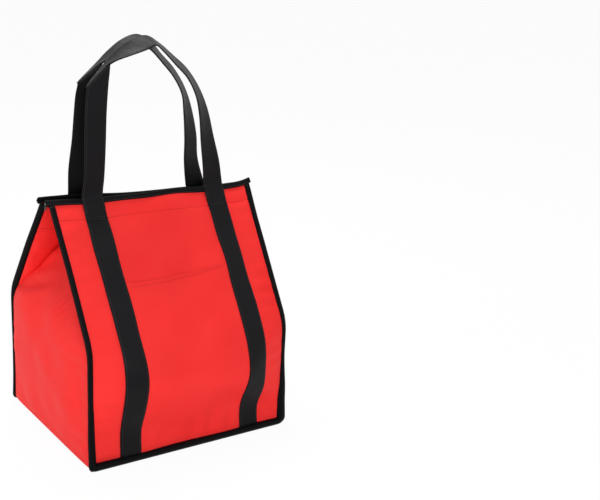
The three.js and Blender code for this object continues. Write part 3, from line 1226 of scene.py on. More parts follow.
@dataclass(frozen=True)
class GussetSurface(PaddedSurface):
    """The outer face of a gusset: its side, and the leaf that folds in above the bend.

    The first value is the share of the way from the middle to the front (-1) or back (1) edge, and s is
    the way up the cloth from the ground.
    """

    OUTWARDS = -1.0
    CROSSING = (-0.17, 0.0)

    belly: float = 0.013
    belly_height: float = 0.120
    bend_belly: float = 0.0065
    crown_power: float = 4.0
    foot_softness: float = 0.0032
    foot_reach: float = 0.016
    bend_softness: float = 0.014
    bend_reach: float = 0.07
    edge_pad: float = 0.3
    pad_reach: float = 0.007
    pucker: float = 0.0008
    pucker_reach: float = 0.014
    sway: float = 0.0012
    crease: float = 0.0014
    crease_length: float = 0.0120
    crease_at: Spot = (-0.036, 0.030, 0.214, 0.024)
    crease_way: Pair = (0.877, 0.48)
    fold: float = 0.0024
    fold_pitch: float = 0.034
    fold_at: Spot = (0.070, 0.045, 0.218, 0.030)
    fold_way: Pair = (0.45, 0.9)
    fold_start: float = 0.226
    pinch: float = 0.0065
    pinch_at: Spot = (-0.83, 0.13, 0.108, 0.052)

    def drawn(self, share: Array, s: Array) -> Array:
        """The gusset's middle with its swell, and sharp bends.

        Args:
            share: How far across the gusset.
            s: How far up the cloth.

        Returns:
            The drawn points.
        """
        shape = self.shape
        share, s = paired(share, s)
        climb = np.maximum(s - shape.bend_height, 0.0)
        low = self.belly * np.sin(math.pi / 2 * np.clip(s / self.belly_height, 0.0, 1.0))
        narrowing = 1 - climb / shape.fold_length
        upright = self.swell(s, low, self.belly, self.belly_height, self.bend_belly)
        rise = upright * np.maximum(narrowing, 0.0) ** 2
        crown = 1 - np.minimum(1.0, np.abs(share)) ** self.crown_power
        y = share * shape.half_depth * narrowing
        under = np.minimum(s, 0.0)
        x = -shape.half_width - crown * rise + math.sin(shape.fold_tilt) * climb - under
        height = np.clip(s / shape.bend_height, 0.0, 1.0) * (shape.bend_height - shape.wall_half)
        z = shape.wall_half + height + math.cos(shape.fold_tilt) * climb
        return np.stack([x, y, z], -1)

    def middle(self, share: Array, s: Array) -> Array:
        """The gusset's middle with soft bends, hollowed beside the front seam.

        Args:
            share: How far across the gusset.
            s: How far up the cloth.

        Returns:
            The drawn points.
        """
        share, s = paired(share, s)
        at_bend = self.bend_softness * smooth(1 - np.abs(s - self.shape.bend_height) / self.bend_reach)
        at_foot = self.foot_softness * smooth(1 - np.abs(s) / self.foot_reach)
        points = softened(self.drawn, share, s, at_bend + at_foot)
        points[..., 0] += self.pinch * patch(share, s, self.pinch_at)
        return points

    def relief(self, share: Array, s: Array) -> Array:
        """How far the cloth stands out of the gusset's middle: padding, puckers and creases.

        Args:
            share: How far across the gusset.
            s: How far up the cloth.

        Returns:
            The distance at each place.
        """
        shape = self.shape
        share, s = paired(share, s)
        narrowing = 1 - np.maximum(s - shape.bend_height, 0.0) / shape.fold_length
        y = share * shape.half_depth * narrowing
        side = np.maximum((1 - np.abs(share)) * shape.half_depth * narrowing, 0.0)
        pad = 1 - (1 - self.edge_pad) * np.exp(-side / self.pad_reach)
        above = smooth(s / 0.02)
        puckers = Ripples(self.seed, 0.019)(s, np.sign(share) * 0.3) * puckered(side, self.pucker_reach)
        slack = Ripples(self.seed + 1, 0.075)(y, s) * (1 - np.exp(-side / 0.03))
        wander = 0.8 * Ripples(self.seed + 2, 0.06)(y, s)
        over_creases, over_folds = (wide * y + up * s for wide, up in (self.crease_way, self.fold_way))
        creases = np.sin(math.tau * over_creases / self.crease_length + wander)
        creases = creases * patch(y, s, self.crease_at)
        folds = np.cos(math.tau * (over_folds - self.fold_start) / self.fold_pitch)
        folds = folds * patch(y, s, self.fold_at)
        loose = self.pucker * puckers + self.sway * slack + self.crease * creases - self.fold * folds
        return shape.wall_half * pad + above * loose


# Sub-assemblies


@dataclass(frozen=True)
class Lining:
    """The foil film on the inside of a panel."""

    depth: float = 0.0022
    thickness: float = 0.0005
    step: float = 0.008
    crinkle: float = 0.00025
    crinkle_length: float = 0.03

    def line(
        self, surface: PaddedSurface, across: Array, s: Array, scale: float, held: Held, rests_on: str
    ) -> tuple[Draft, Cut]:
        """Draws the film behind a panel.

        Args:
            surface: The panel's surface.
            across: The surface's first value, in a row.
            s: How far up the cloth, in a column.
            scale: How many metres across one of the first value is.
            held: How the film is held.
            rests_on: The piece that carries it.

        Returns:
            The drawn film and its cut.
        """
        places = grid(across * scale, s)
        crinkles = Ripples(surface.seed + 7, self.crinkle_length)(places[..., 0], places[..., 1])
        depth = self.depth + self.crinkle * crinkles
        outer = surface.inside(across, s, depth)
        inner = surface.inside(across, s, depth + self.thickness)
        return Draft().slab(outer, inner, places), Cut.of(outer, held, rests_on)


@dataclass
class Wall(SubAssembly):
    """A padded wall: outer cloth over foam, its foil lining, and the stitching of its hem."""

    surface: WallSurface
    step: float = 0.0042
    edge_step: float = 0.0018
    edge_margin: float = 0.0006
    foot: float = 0.003
    head: float = 0.001
    hem_step: float = 0.0006
    inner_depth: float = 0.0019
    fill: float = 0.4
    lining: Lining = Lining()
    lining_margin: float = 0.003
    lining_foot: float = 0.007
    lining_head: float = 0.006
    seam: Seam = Seam()
    seam_margin: float = 0.006

    def build(self) -> list[Piece]:
        """Draws the cloth, the lining and the hem's stitches.

        Returns:
            The three pieces.
        """
        surface, shape, step = self.surface, self.surface.shape, self.lining.step
        half, carrier = surface.panel.value, surface.carrier()
        name = f"{half}_wall_cloth"
        reach = shape.half_width - self.lining_margin
        x = spaced(-reach, reach, step)[None, :]
        s = spaced(self.lining_foot, shape.length - self.lining_head, step)[:, None]
        foil, cut = self.lining.line(surface, x, s, 1.0, Held.STRETCHED, name)
        layers = ("lower_shell", "lower_foam", "upper_shell", "upper_foam")
        nodes = tuple(f"{half}_{layer}" for layer in layers)
        linings = (f"{half}_lower_lining", f"{half}_upper_lining")
        return [
            Piece(name, self.cloth(), (CLOTH,), Slot.OUTER_CLOTH, carrier, nodes, fill=self.fill),
            Piece(f"{half}_foil", foil, (FOIL,), Slot.FOIL_LINING, carrier, linings, cut=cut),
            Piece(f"{half}_hem_stitches", self.stitches(), (RED_THREAD,), Slot.OUTER_CLOTH, carrier),
        ]

    def cloth(self) -> Draft:
        """Draws the outer cloth with its foam behind it.

        Returns:
            The drawn cloth.
        """
        surface, shape = self.surface, self.surface.shape
        reach = shape.half_width - self.edge_margin
        edge = reach - 4 * self.edge_step
        x = spaced(-reach, reach, self.step, (-edge, edge), self.edge_step)[None, :]
        s = spaced(self.foot, shape.length - self.head, self.step, (shape.hem,), self.hem_step)[:, None]
        return Draft().slab(surface.at(x, s), surface.inside(x, s, self.inner_depth), grid(x, s))

    def stitches(self) -> Draft:
        """Draws the row of stitches that holds the hem.

        Returns:
            The drawn stitches.
        """
        draft, shape = Draft(), self.surface.shape
        reach = shape.half_width - self.seam_margin
        x = np.arange(-reach, reach, SEAM_STEP)
        s = np.full_like(x, shape.hem)
        self.seam.sew(draft, self.surface.at(x, s), self.surface.out(x, s))
        return draft


@dataclass
class Pocket(SubAssembly):
    """The flat pocket between the front straps, open at its hemmed upper edge."""

    surface: WallSurface
    climb: float = 0.0940
    reach: float = 0.0878
    foot: float = 0.006
    step: float = 0.0045
    fine_step: float = 0.0006
    hem: float = 0.0085
    hem_line: float = 0.0006
    # The edge row is a painted shadow: dark stitches drawn as the thin shadow line along the pocket's edge.
    # This is how far under the edge they run.
    painted_shadow_drop: float = 0.0011
    thickness: float = 0.0006
    hem_thickness: float = 0.0008
    hem_taper: float = 0.0042
    lift: float = 0.0003
    gape: float = 0.0010
    gape_depth: float = 0.03
    right_rise: float = 0.0065
    seam: Seam = Seam()
    seam_margin: float = 0.004
    # How far the hem row and the edge row, which is a painted shadow line, stand off the wall
    seam_lifts: Pair = (0.0021, 0.0023)

    @property
    def top(self) -> float:
        """How far up the wall the pocket's edge is."""
        return self.surface.shape.bend_height + self.climb

    @property
    def fold(self) -> float:
        """How far up the wall the pocket's hem starts."""
        return self.top - self.hem

    @staticmethod
    def rightwards(x: Array) -> Array:
        """From 0 at the left to 1 at the right."""
        return smooth((x + 0.06) / 0.16)

    def build(self) -> list[Piece]:
        """Draws the panel, its stitching, and a row of dark stitches along its edge that is a painted shadow
        line.

        Returns:
            The two pieces.
        """
        outer, inner, places = self.panel()
        carrier = self.surface.carrier()
        nodes = ("front_pocket_lower", "front_pocket_upper")
        cut = Cut.of(outer, Held.STRETCHED, "front_wall_cloth")
        draft = Draft().slab(outer, inner, places)
        return [
            Piece("front_pocket", draft, (CLOTH,), Slot.OUTER_CLOTH, carrier, nodes, cut=cut),
            Piece("front_pocket_stitches_and_painted_shadow", self.stitches(), (RED_THREAD,), Slot.OUTER_CLOTH, carrier),
        ]

    def panel(self) -> tuple[Array, Array, Array]:
        """Lays the panel on the wall, higher towards the right and a little open at its edge.

        Returns:
            The points of its outer and inner faces, and their cloth map.
        """
        top, fold = self.top, self.fold
        x = spaced(-self.reach, self.reach, self.step)[None, :]
        s = spaced(self.foot, top, self.step, (fold, top - 0.001), self.fine_step)[:, None]
        hemmed = smooth((s - fold + 0.0008) / 0.0012)
        bowed = 1 - (x / self.reach) ** 4
        lift = self.lift + self.gape * smooth((s - top + self.gape_depth) / self.gape_depth) * bowed
        rim = 0.35 + 0.65 * smooth((top - s) / 0.0016)
        thick = (self.thickness + (self.hem_thickness - self.thickness) * hemmed) * rim
        thick = thick - 0.0004 * hump(s, fold + self.hem_line, 0.0009)
        rightwards = self.rightwards(x)
        placed = s + self.right_rise * rightwards * smooth(s / top)
        near_fold = smooth((s - fold + 0.05) / 0.05) * smooth((top - s) / self.hem)
        placed = placed + self.hem_taper * rightwards * near_fold
        return self.surface.at(x, placed, lift + thick), self.surface.at(x, placed, lift), grid(x, s)

    def stitches(self) -> Draft:
        """Draws the stitches along the hem, and a row of dark stitches along the edge that is a painted
        shadow line.

        Returns:
            The drawn stitches.
        """
        draft = Draft()
        x = np.arange(-self.reach + self.seam_margin, self.reach - self.seam_margin, SEAM_STEP)
        rightwards = self.rightwards(x)
        hem = self.fold + self.hem_line + self.hem_taper * rightwards
        # Dark stitches just under the edge, standing in for its thin shadow line: a painted shadow
        edge = np.full_like(x, self.top - self.painted_shadow_drop)
        for row, lift in zip((hem, edge), self.seam_lifts):
            s = row + self.right_rise * rightwards
            self.seam.sew(draft, self.surface.at(x, s, lift), self.surface.out(x, s))
        return draft


@dataclass
class SewnStrap(SubAssembly):
    """A strap sewn flat up a wall, from under the bottom tape to the hem."""

    surface: WallSurface
    x: float
    thickness: float = 0.0021
    lift: float = 0.0003
    step: float = 0.005
    foot: float = 0.003
    head: float = 0.001
    seam: Seam = Seam(width=0.0007)
    seam_inset: float = 0.0026
    seam_foot: float = 0.010
    seam_head: float = 0.002

    def build(self) -> list[Piece]:
        """Draws the strap and its two rows of stitches.

        Returns:
            The two pieces.
        """
        surface, shape = self.surface, self.surface.shape
        half, hand = surface.panel, surface.panel.hand(self.x)
        outline = ribbon_outline(shape.strap_width, self.thickness)
        s = spaced(self.foot, shape.hem + self.head, self.step)[:, None]
        x = self.x + outline[None, :, 0]
        rings = surface.at(x, s, self.lift + self.thickness / 2 + outline[None, :, 1])
        draft, stitches = Draft().tube(rings, s[:, 0], around(outline)), Draft()
        rows = np.arange(self.seam_foot, shape.hem - self.seam_head, SEAM_STEP)
        for edge in (-1, 1):
            at = np.full_like(rows, self.x + edge * (shape.strap_width / 2 - self.seam_inset))
            self.seam.sew(stitches, surface.at(at, rows, self.lift + self.thickness), surface.out(at, rows))
        carrier = surface.carrier()
        name = f"{half.value}_strap_{hand}"
        nodes = tuple(f"{half.value}_strap_{part}_{hand}" for part in ("lower", "upper"))
        return [
            Piece(f"{name}_webbing", draft, (WEBBING,), Slot.STRAP_WEBBING, carrier, nodes),
            Piece(f"{name}_stitches", stitches, (BLACK_THREAD,), Slot.STRAP_WEBBING, carrier),
        ]


# Along each free loop, from its left leg, in world places: across the bag, up, the turn in degrees from
# facing forwards to facing up, and how far the inner edge runs ahead, as a share of the half width
LOOP_KNOTS: dict[Half, tuple[tuple[float, ...], ...]] = {
    Half.FRONT: (
        (-0.0997, 0.404, -6.0, 0.0), (-0.0980, 0.450, -1.0, 0.0), (-0.0955, 0.495, 0.0, 0.2),
        (-0.0925, 0.525, 0.0, 0.6), (-0.0895, 0.5507, 0.0, 1.13),
        (-0.0664, 0.570, 94.0, 0.50), (-0.0426, 0.5835, 73.0, 0.47), (-0.0217, 0.5937, 63.0, 0.25),
        (-0.0045, 0.5978, 72.0, 0.10), (0.0113, 0.588, 70.0, 0.0), (0.0341, 0.568, 64.0, 0.0),
        (0.0560, 0.5476, 59.0, 0.0), (0.0737, 0.519, 51.0, 0.0), (0.0834, 0.489, 39.0, 0.0),
        (0.0908, 0.4435, 24.0, 0.0), (0.0985, 0.404, 10.0, 0.0),
    ),
    Half.BACK: (
        (-0.1065, 0.404, -5.0, 0.0), (-0.0995, 0.450, 3.0, 0.0), (-0.0960, 0.495, 8.0, 0.2),
        (-0.0935, 0.525, 6.0, 0.6), (-0.0895, 0.5503, 0.0, 1.08),
        (-0.0684, 0.566, 96.0, 0.55), (-0.0455, 0.5827, 86.0, 0.42), (-0.0251, 0.5913, 70.0, 0.22),
        (-0.0078, 0.5946, 63.0, 0.07), (0.0076, 0.5876, 61.0, 0.0), (0.0284, 0.5663, 62.0, 0.0),
        (0.0486, 0.5448, 59.0, 0.0), (0.0662, 0.5173, 54.0, 0.0), (0.0754, 0.4883, 42.0, 0.0),
        (0.0838, 0.442, 28.0, 0.0), (0.0855, 0.404, 22.0, 0.0),
    ),
}


@dataclass
class CarryLoop(SubAssembly):
    """A carrying loop: off the hem, over the mouth's tape, then up, over and down again.

    Its left leg stands straight and folds over in a crease, and its right leg turns slowly, as webbing
    does that a hand has just let go.
    """

    surface: WallSurface
    thickness: float = 0.0021
    over_tape: float = 0.0062
    step: float = 0.004
    past_edge: float = 0.003
    top_lean: float = 0.007
    lean_span: Pair = (0.43, 0.58)
    back_aside: Pair = (0.012, 0.004)
    crease: int = 4
    hinge: Triple = (0.0, -0.0379, 0.3469)
    bend: Pair = (0.002, 0.034)
    seam: Seam = Seam(width=0.0007)
    seam_inset: float = 0.0026

    def knots(self) -> Array:
        """The loop's middle line and the way to its inner edge, as drawn, from its left foot to its right.

        Returns:
            Rows of a point and a way.
        """
        shape, half = self.surface.shape, self.surface.panel
        facing = 1 if half is Half.FRONT else -1
        foot = np.array([0.0, -shape.half_depth, shape.bend_height]) + shape.out_of_slope * self.over_tape
        rise_y = float((foot + shape.up_slope * (shape.slope + self.past_edge))[1])
        rows = np.array(LOOP_KNOTS[half])
        lean = rise_y + self.top_lean * ramp(rows[:, 1], *self.lean_span)
        path = np.stack([rows[:, 0], facing * lean, rows[:, 1] + shape.raised], -1)
        ahead = unit(np.gradient(path, axis=0))
        ahead[self.crease] = unit(path[self.crease] - path[self.crease - 1])
        turn = np.radians(rows[:, 2])[:, None]
        upwards = np.stack([-ahead[:, 2], np.zeros(len(path)), ahead[:, 0]], -1)
        out = np.array([0.0, -1.0, 0.0]) * np.cos(turn) + upwards * np.sin(turn)
        ring = unit(np.cross(ahead, out)) + rows[:, 3:] * ahead
        behind = path[self.crease] + np.array([0.0, self.thickness, 0.0])
        path = np.insert(path, self.crease + 1, behind, axis=0)
        ring = np.insert(ring, self.crease + 1, ring[self.crease], axis=0)
        loop = np.concatenate([half.world(path), facing * half.world(ring)], -1)
        left, right = (self.off_wall(foot, side * facing) for side in (-1, 1))
        feet = [
            np.concatenate([points, np.broadcast_to([way, 0.0, 0.0], points.shape)], -1)
            for points, way in ((left, 1.0), (right[::-1], -1.0))
        ]
        return np.concatenate([feet[0], loop, feet[1]])

    def off_wall(self, foot: Array, side: int) -> Array:
        """Leads the strap from the hem to the free loop.

        Args:
            foot: Where the loop's feet start, at x 0.
            side: The drawn left (-1) or right (1).

        Returns:
            The points between them.
        """
        shape, surface = self.surface.shape, self.surface
        x = side * shape.strap_x
        aside = self.back_aside[side > 0] if surface.panel is Half.BACK else 0.0
        low = [
            surface.at(np.array(x), np.array(shape.hem + up), lift + self.thickness / 2)
            for up, lift in ((-0.004, 0.0004), (0.004, 0.0006))
        ]
        high = [
            surface.place(foot + shape.up_slope * (shape.slope + up) + [x + shift, 0, 0])
            for up, shift in ((-0.007, 0.6 * aside), (self.past_edge, aside))
        ]
        return surface.panel.world(np.array(low + high))

    def build(self) -> list[Piece]:
        """Draws the loop and its stitching.

        Returns:
            The two pieces.
        """
        shape, half = self.surface.shape, self.surface.panel
        rows = through(self.knots(), self.step)
        path, across = rows[:, :3], rows[:, 3:]
        out = unit(np.cross(across, unit(np.gradient(path, axis=0))))
        outline = ribbon_outline(shape.strap_width, self.thickness)
        rings = path[:, None] + across[:, None] * outline[None, :, :1] + out[:, None] * outline[None, :, 1:]
        draft = Draft().tube(half.world(rings), lengths(path), around(outline))
        hinge = shape.settle(half.world(np.array(self.hinge)))
        ends = (tuple(hinge + half.world(shape.up_slope * far)) for far in self.bend)
        node = f"{half.value}_handle"
        carrier = Bends(half.upper, node, *ends)
        name, slot = f"{half.value}_carry_loop", Slot.STRAP_WEBBING
        stitches = self.stitches(path, across, out)
        return [
            Piece(name, draft, (WEBBING,), slot, carrier, (node,)),
            Piece(f"{name}_stitches", stitches, (BLACK_THREAD,), slot, carrier),
        ]

    def stitches(self, path: Array, across: Array, out: Array) -> Draft:
        """Draws a row of stitches along both edges, and two across each foot.

        Args:
            path: Points along the loop.
            across: The way to the inner edge at each.
            out: The way out of the strap at each.

        Returns:
            The drawn stitches.
        """
        surface, shape, draft = self.surface, self.surface.shape, Draft()
        side, ends = shape.strap_width / 2, slice(3, -3)
        for edge in (-1, 1):
            row = path + across * edge * (side - self.seam_inset) + out * self.thickness / 2
            self.seam.sew(draft, surface.panel.world(row)[ends], surface.panel.world(out)[ends])
        for x in (-shape.strap_x, shape.strap_x):
            wide = np.arange(-side + 0.003, side - 0.002, 0.0025) + x
            for up in (-0.002, 0.0016):
                s = np.full_like(wide, shape.hem + up)
                self.seam.sew(draft, surface.at(wide, s, self.thickness + 0.0006), surface.out(wide, s))
        return draft


@dataclass
class Gusset(SubAssembly):
    """A side of the bag: its padded cloth, the leaf that folds in above it, and its foil."""

    surface: GussetSurface
    step: float = 0.003
    edge_step: float = 0.0018
    edge: float = 0.996
    under: float = 0.020
    foot_step: float = 0.0014
    leaf_top: float = 0.196
    inner_depth: float = 0.0019
    fill: float = 0.4
    lining: Lining = Lining()
    lining_edge: float = 0.975
    lip: float = 0.009
    lip_edge: float = 0.992
    lip_thickness: float = 0.0012

    @property
    def top(self) -> float:
        """How far up the cloth the leaf ends."""
        return self.surface.shape.bend_height + self.leaf_top

    def build(self) -> list[Piece]:
        """Draws the cloth and the foil.

        Returns:
            The two pieces.
        """
        surface, shape, side = self.surface, self.surface.shape, self.surface.panel.value
        fine = self.edge_step / shape.half_depth
        near_edges = (-self.edge + 4 * fine, self.edge - 4 * fine)
        share = spaced(-self.edge, self.edge, self.step / shape.half_depth, near_edges, fine)[None, :]
        s = spaced(-self.under, self.top, self.step, (0.0,), self.foot_step)[:, None]
        inner = surface.inside(share, s, self.inner_depth)
        draft = Draft().slab(surface.at(share, s), inner, grid(share * shape.half_depth, s))
        self.turn_in(draft)
        wide = spaced(-self.lining_edge, self.lining_edge, 0.06)[None, :]
        up = spaced(0.008, self.top - 0.006, self.lining.step)[:, None]
        name, carrier = f"{side}_gusset_cloth", surface.carrier()
        foil, cut = self.lining.line(surface, wide, up, shape.half_depth, Held.FOLDED, name)
        nodes = (f"{side}_gusset_foam", f"{side}_fold_shell", f"{side}_fold_foam")
        return [
            Piece(name, draft, (CLOTH,), Slot.OUTER_CLOTH, carrier, nodes, fill=self.fill),
            Piece(f"{side}_gusset_foil", foil, (FOIL,), Slot.FOIL_LINING, carrier, cut=cut),
        ]

    def turn_in(self, draft: Draft) -> None:
        """Draws the leaf's edges, turned in behind the creases.

        Args:
            draft: Where they are drawn.
        """
        shape, edge = self.surface.shape, self.lip_edge
        s = spaced(shape.bend_height - 0.010, self.top - 0.020, 0.006)[:, None]
        s, depth = paired(s, spaced(0.0, self.lip, 0.003)[None, :])
        narrowing = 1 - np.maximum(s - shape.bend_height, 0.0) / shape.fold_length
        inner = edge - self.lip_thickness / (shape.half_depth * narrowing)
        for faces in ((np.full_like(s, edge), inner), (-inner, np.full_like(s, -edge))):
            draft.slab(*(self.surface.inside(share, s, depth) for share in faces), grid(depth, s))


@dataclass
class Pleat(SubAssembly):
    """A side leaf of a gusset's fold, from the wall's seam to the crease, with foil on its inside.

    It goes on past the crease as a tuck behind the middle leaf, which keeps the fold shut as the mouth opens.
    """

    half: Half
    shape: BagShape
    hand: int
    seed: int
    seam_inset: float = 0.0025
    seam_depth: float = 0.003
    foot: float = 0.005
    head: float = 0.012
    crease_foot: float = 0.025
    crease_head: float = 0.91
    thickness: float = 0.0022
    swell: float = 0.006
    slack: float = 0.0007
    hem_share: float = 0.76
    crease_inset: Triple = (0.0043, 0.0033, -0.0022)
    tuck: Pair = (0.017, 0.008)
    hinge: Pair = (0.0005, 0.009)
    seam: Seam = Seam()

    def leaf(self, u: Array, v: Array) -> Array:
        """The pleat's face, as drawn.

        Args:
            u: 0 at the seam, 1 at the crease and 2 at the tuck's end.
            v: From 0 at the foot to 1 at the head.

        Returns:
            The drawn points.
        """
        u, v = paired(u, v)
        shape = self.shape
        corner = np.array([-shape.half_width, -shape.half_depth, shape.bend_height])
        start = corner + [self.seam_inset, 0.0, 0.0]
        climb = self.foot + (shape.slope - self.head - self.foot) * v
        on_seam = start + shape.up_slope * climb[..., None] - shape.out_of_slope * self.seam_depth
        share = (self.crease_foot + (self.crease_head - self.crease_foot) * v)[..., None]
        reach, rise = math.sin(shape.fold_tilt), math.cos(shape.fold_tilt)
        apex = np.array([-shape.half_width, -0.0015, shape.bend_height])
        apex = apex + shape.fold_length * np.array([reach, 0, rise])
        on_crease = (corner + self.crease_inset) * (1 - share) + apex * share
        wide = on_crease - on_seam
        low, high = self.tuck
        tucked = (low + (high - low) * v) * smooth((v + 0.06) / 0.12) * smooth((1 - v) / 0.14)
        past = np.maximum(u - 1, 0) * tucked
        return on_seam + wide * np.minimum(u, 1)[..., None] + unit(wide) * past[..., None]

    def at(self, u: Array, v: Array, lift: Array | float) -> Array:
        """Points of the settled pleat.

        Args:
            u: As for leaf.
            v: As for leaf.
            lift: How far they are lifted towards the outside.

        Returns:
            The points, in the world.
        """
        u, v = paired(u, v)
        out = -out_of(self.leaf, u, v, 0.004)
        crown = np.sin(math.pi * np.minimum(u, 1))
        bulge = self.swell * crown * np.sin(math.pi * np.clip(v, 0, 1)) ** 0.5
        uneven = self.slack * Ripples(self.seed, 0.5)(u * 0.6, v * 2.0) * crown
        points = self.leaf(u, v) + out * (bulge + uneven + lift)[..., None]
        mirrored = points * np.array([-self.hand, 1.0, 1.0])
        return self.shape.settle(self.half.world(mirrored))

    def build(self) -> list[Piece]:
        """Draws the pleat and the stitches of the gusset's hem on it.

        Returns:
            The two pieces.
        """
        u = np.concatenate([spaced(0.0, 1.0, 0.06), [1.2, 1.5, 2.0]])[None, :]
        v = spaced(0.0, 1.0, 0.028, (self.hem_share,), 0.004)[:, None]
        groove = 0.0006 * hump(v, self.hem_share, 0.006)
        half = self.thickness / 2
        places = grid(u * 0.08, v * self.shape.slope)
        draft = Draft().slab(self.at(u, v, half - groove), self.at(u, v, -half), places, 1)
        row = np.linspace(0.06, 0.94, 40)
        level = np.full_like(row, self.hem_share)
        path = self.at(row, level, half - 0.0004)
        stitches = Draft()
        self.seam.sew(stitches, path, unit(path - self.at(row, level, -half)))
        side = self.half.hand(float(self.hand))
        name = f"{self.half.value}_{side}_pleat"
        carrier = Bends(self.half.upper, name, *self.ends())
        node = f"{self.half.value}_pleat_{side}"
        cut = Cut.of(self.at(u, v, 0.0), Held.FOLDED, f"{self.half.value}_wall_cloth")
        return [
            Piece(f"{name}_cloth", draft, (CLOTH, FOIL), Slot.OUTER_CLOTH, carrier, (node,), cut=cut),
            Piece(f"{name}_stitches", stitches, (RED_THREAD,), Slot.OUTER_CLOTH, carrier),
        ]

    def ends(self) -> list[Triple]:
        """Finds where the pleat's bend at its seam starts and ends.

        Returns:
            The two points.
        """
        foot, crease, low, high = (self.at(u, v, 0.0) for u, v in ((0, 0.5), (1, 0.5), (0, 0.1), (0, 0.9)))
        up = unit(high - low)
        away = crease - foot
        away = unit(away - up * (away @ up))
        return [tuple(foot + away * far) for far in self.hinge]


@dataclass
class Base(SubAssembly):
    """The cloth under the bag and the foil on the floor of its compartment."""

    shape: BagShape
    step: float = 0.012
    side_margin: float = 0.0198
    edge_margin: float = 0.0008
    edge_rise: float = 0.0018
    upper: float = 0.0046
    fill: float = 0.4
    foil_reach: float = 0.134
    foil_height: float = 0.0052
    foil_thickness: float = 0.0006

    def build(self) -> list[Piece]:
        """Draws the base cloth and the floor's foil.

        Returns:
            The two pieces.
        """
        shape, carrier = self.shape, Rides("lower_body")
        reach_x, reach_y = shape.half_width - self.side_margin, shape.half_depth - self.edge_margin
        x = spaced(-reach_x, reach_x, self.step)[None, :]
        y = spaced(-reach_y, reach_y, self.step, (-reach_y + 0.006, reach_y - 0.006), 0.0014)[:, None]
        edge = self.edge_rise * np.exp(-(reach_y - np.abs(y)) / 0.004)
        faces = (shape.settle(grid(x, y, level)) for level in (edge, self.upper))
        cloth = Draft().slab(*faces, grid(x, y))
        foil_x, foil_y = paired(x, spaced(-self.foil_reach, self.foil_reach, self.step)[:, None])
        level = self.foil_height + 0.0002 * Ripples(71, 0.04)(foil_x, foil_y)
        floor = grid(foil_x, foil_y, level)
        foil = Draft().slab(floor, floor + [0.0, 0.0, self.foil_thickness], grid(foil_x, foil_y))
        cut = Cut.of(floor, Held.LAID, "base_cloth")
        nodes = ("gusset_base_shell", "base_foam")
        return [
            Piece("base_cloth", cloth, (CLOTH,), Slot.OUTER_CLOTH, carrier, nodes, fill=self.fill),
            Piece("floor_foil", foil, (FOIL,), Slot.FOIL_LINING, carrier, ("gusset_base_lining",), cut=cut),
        ]


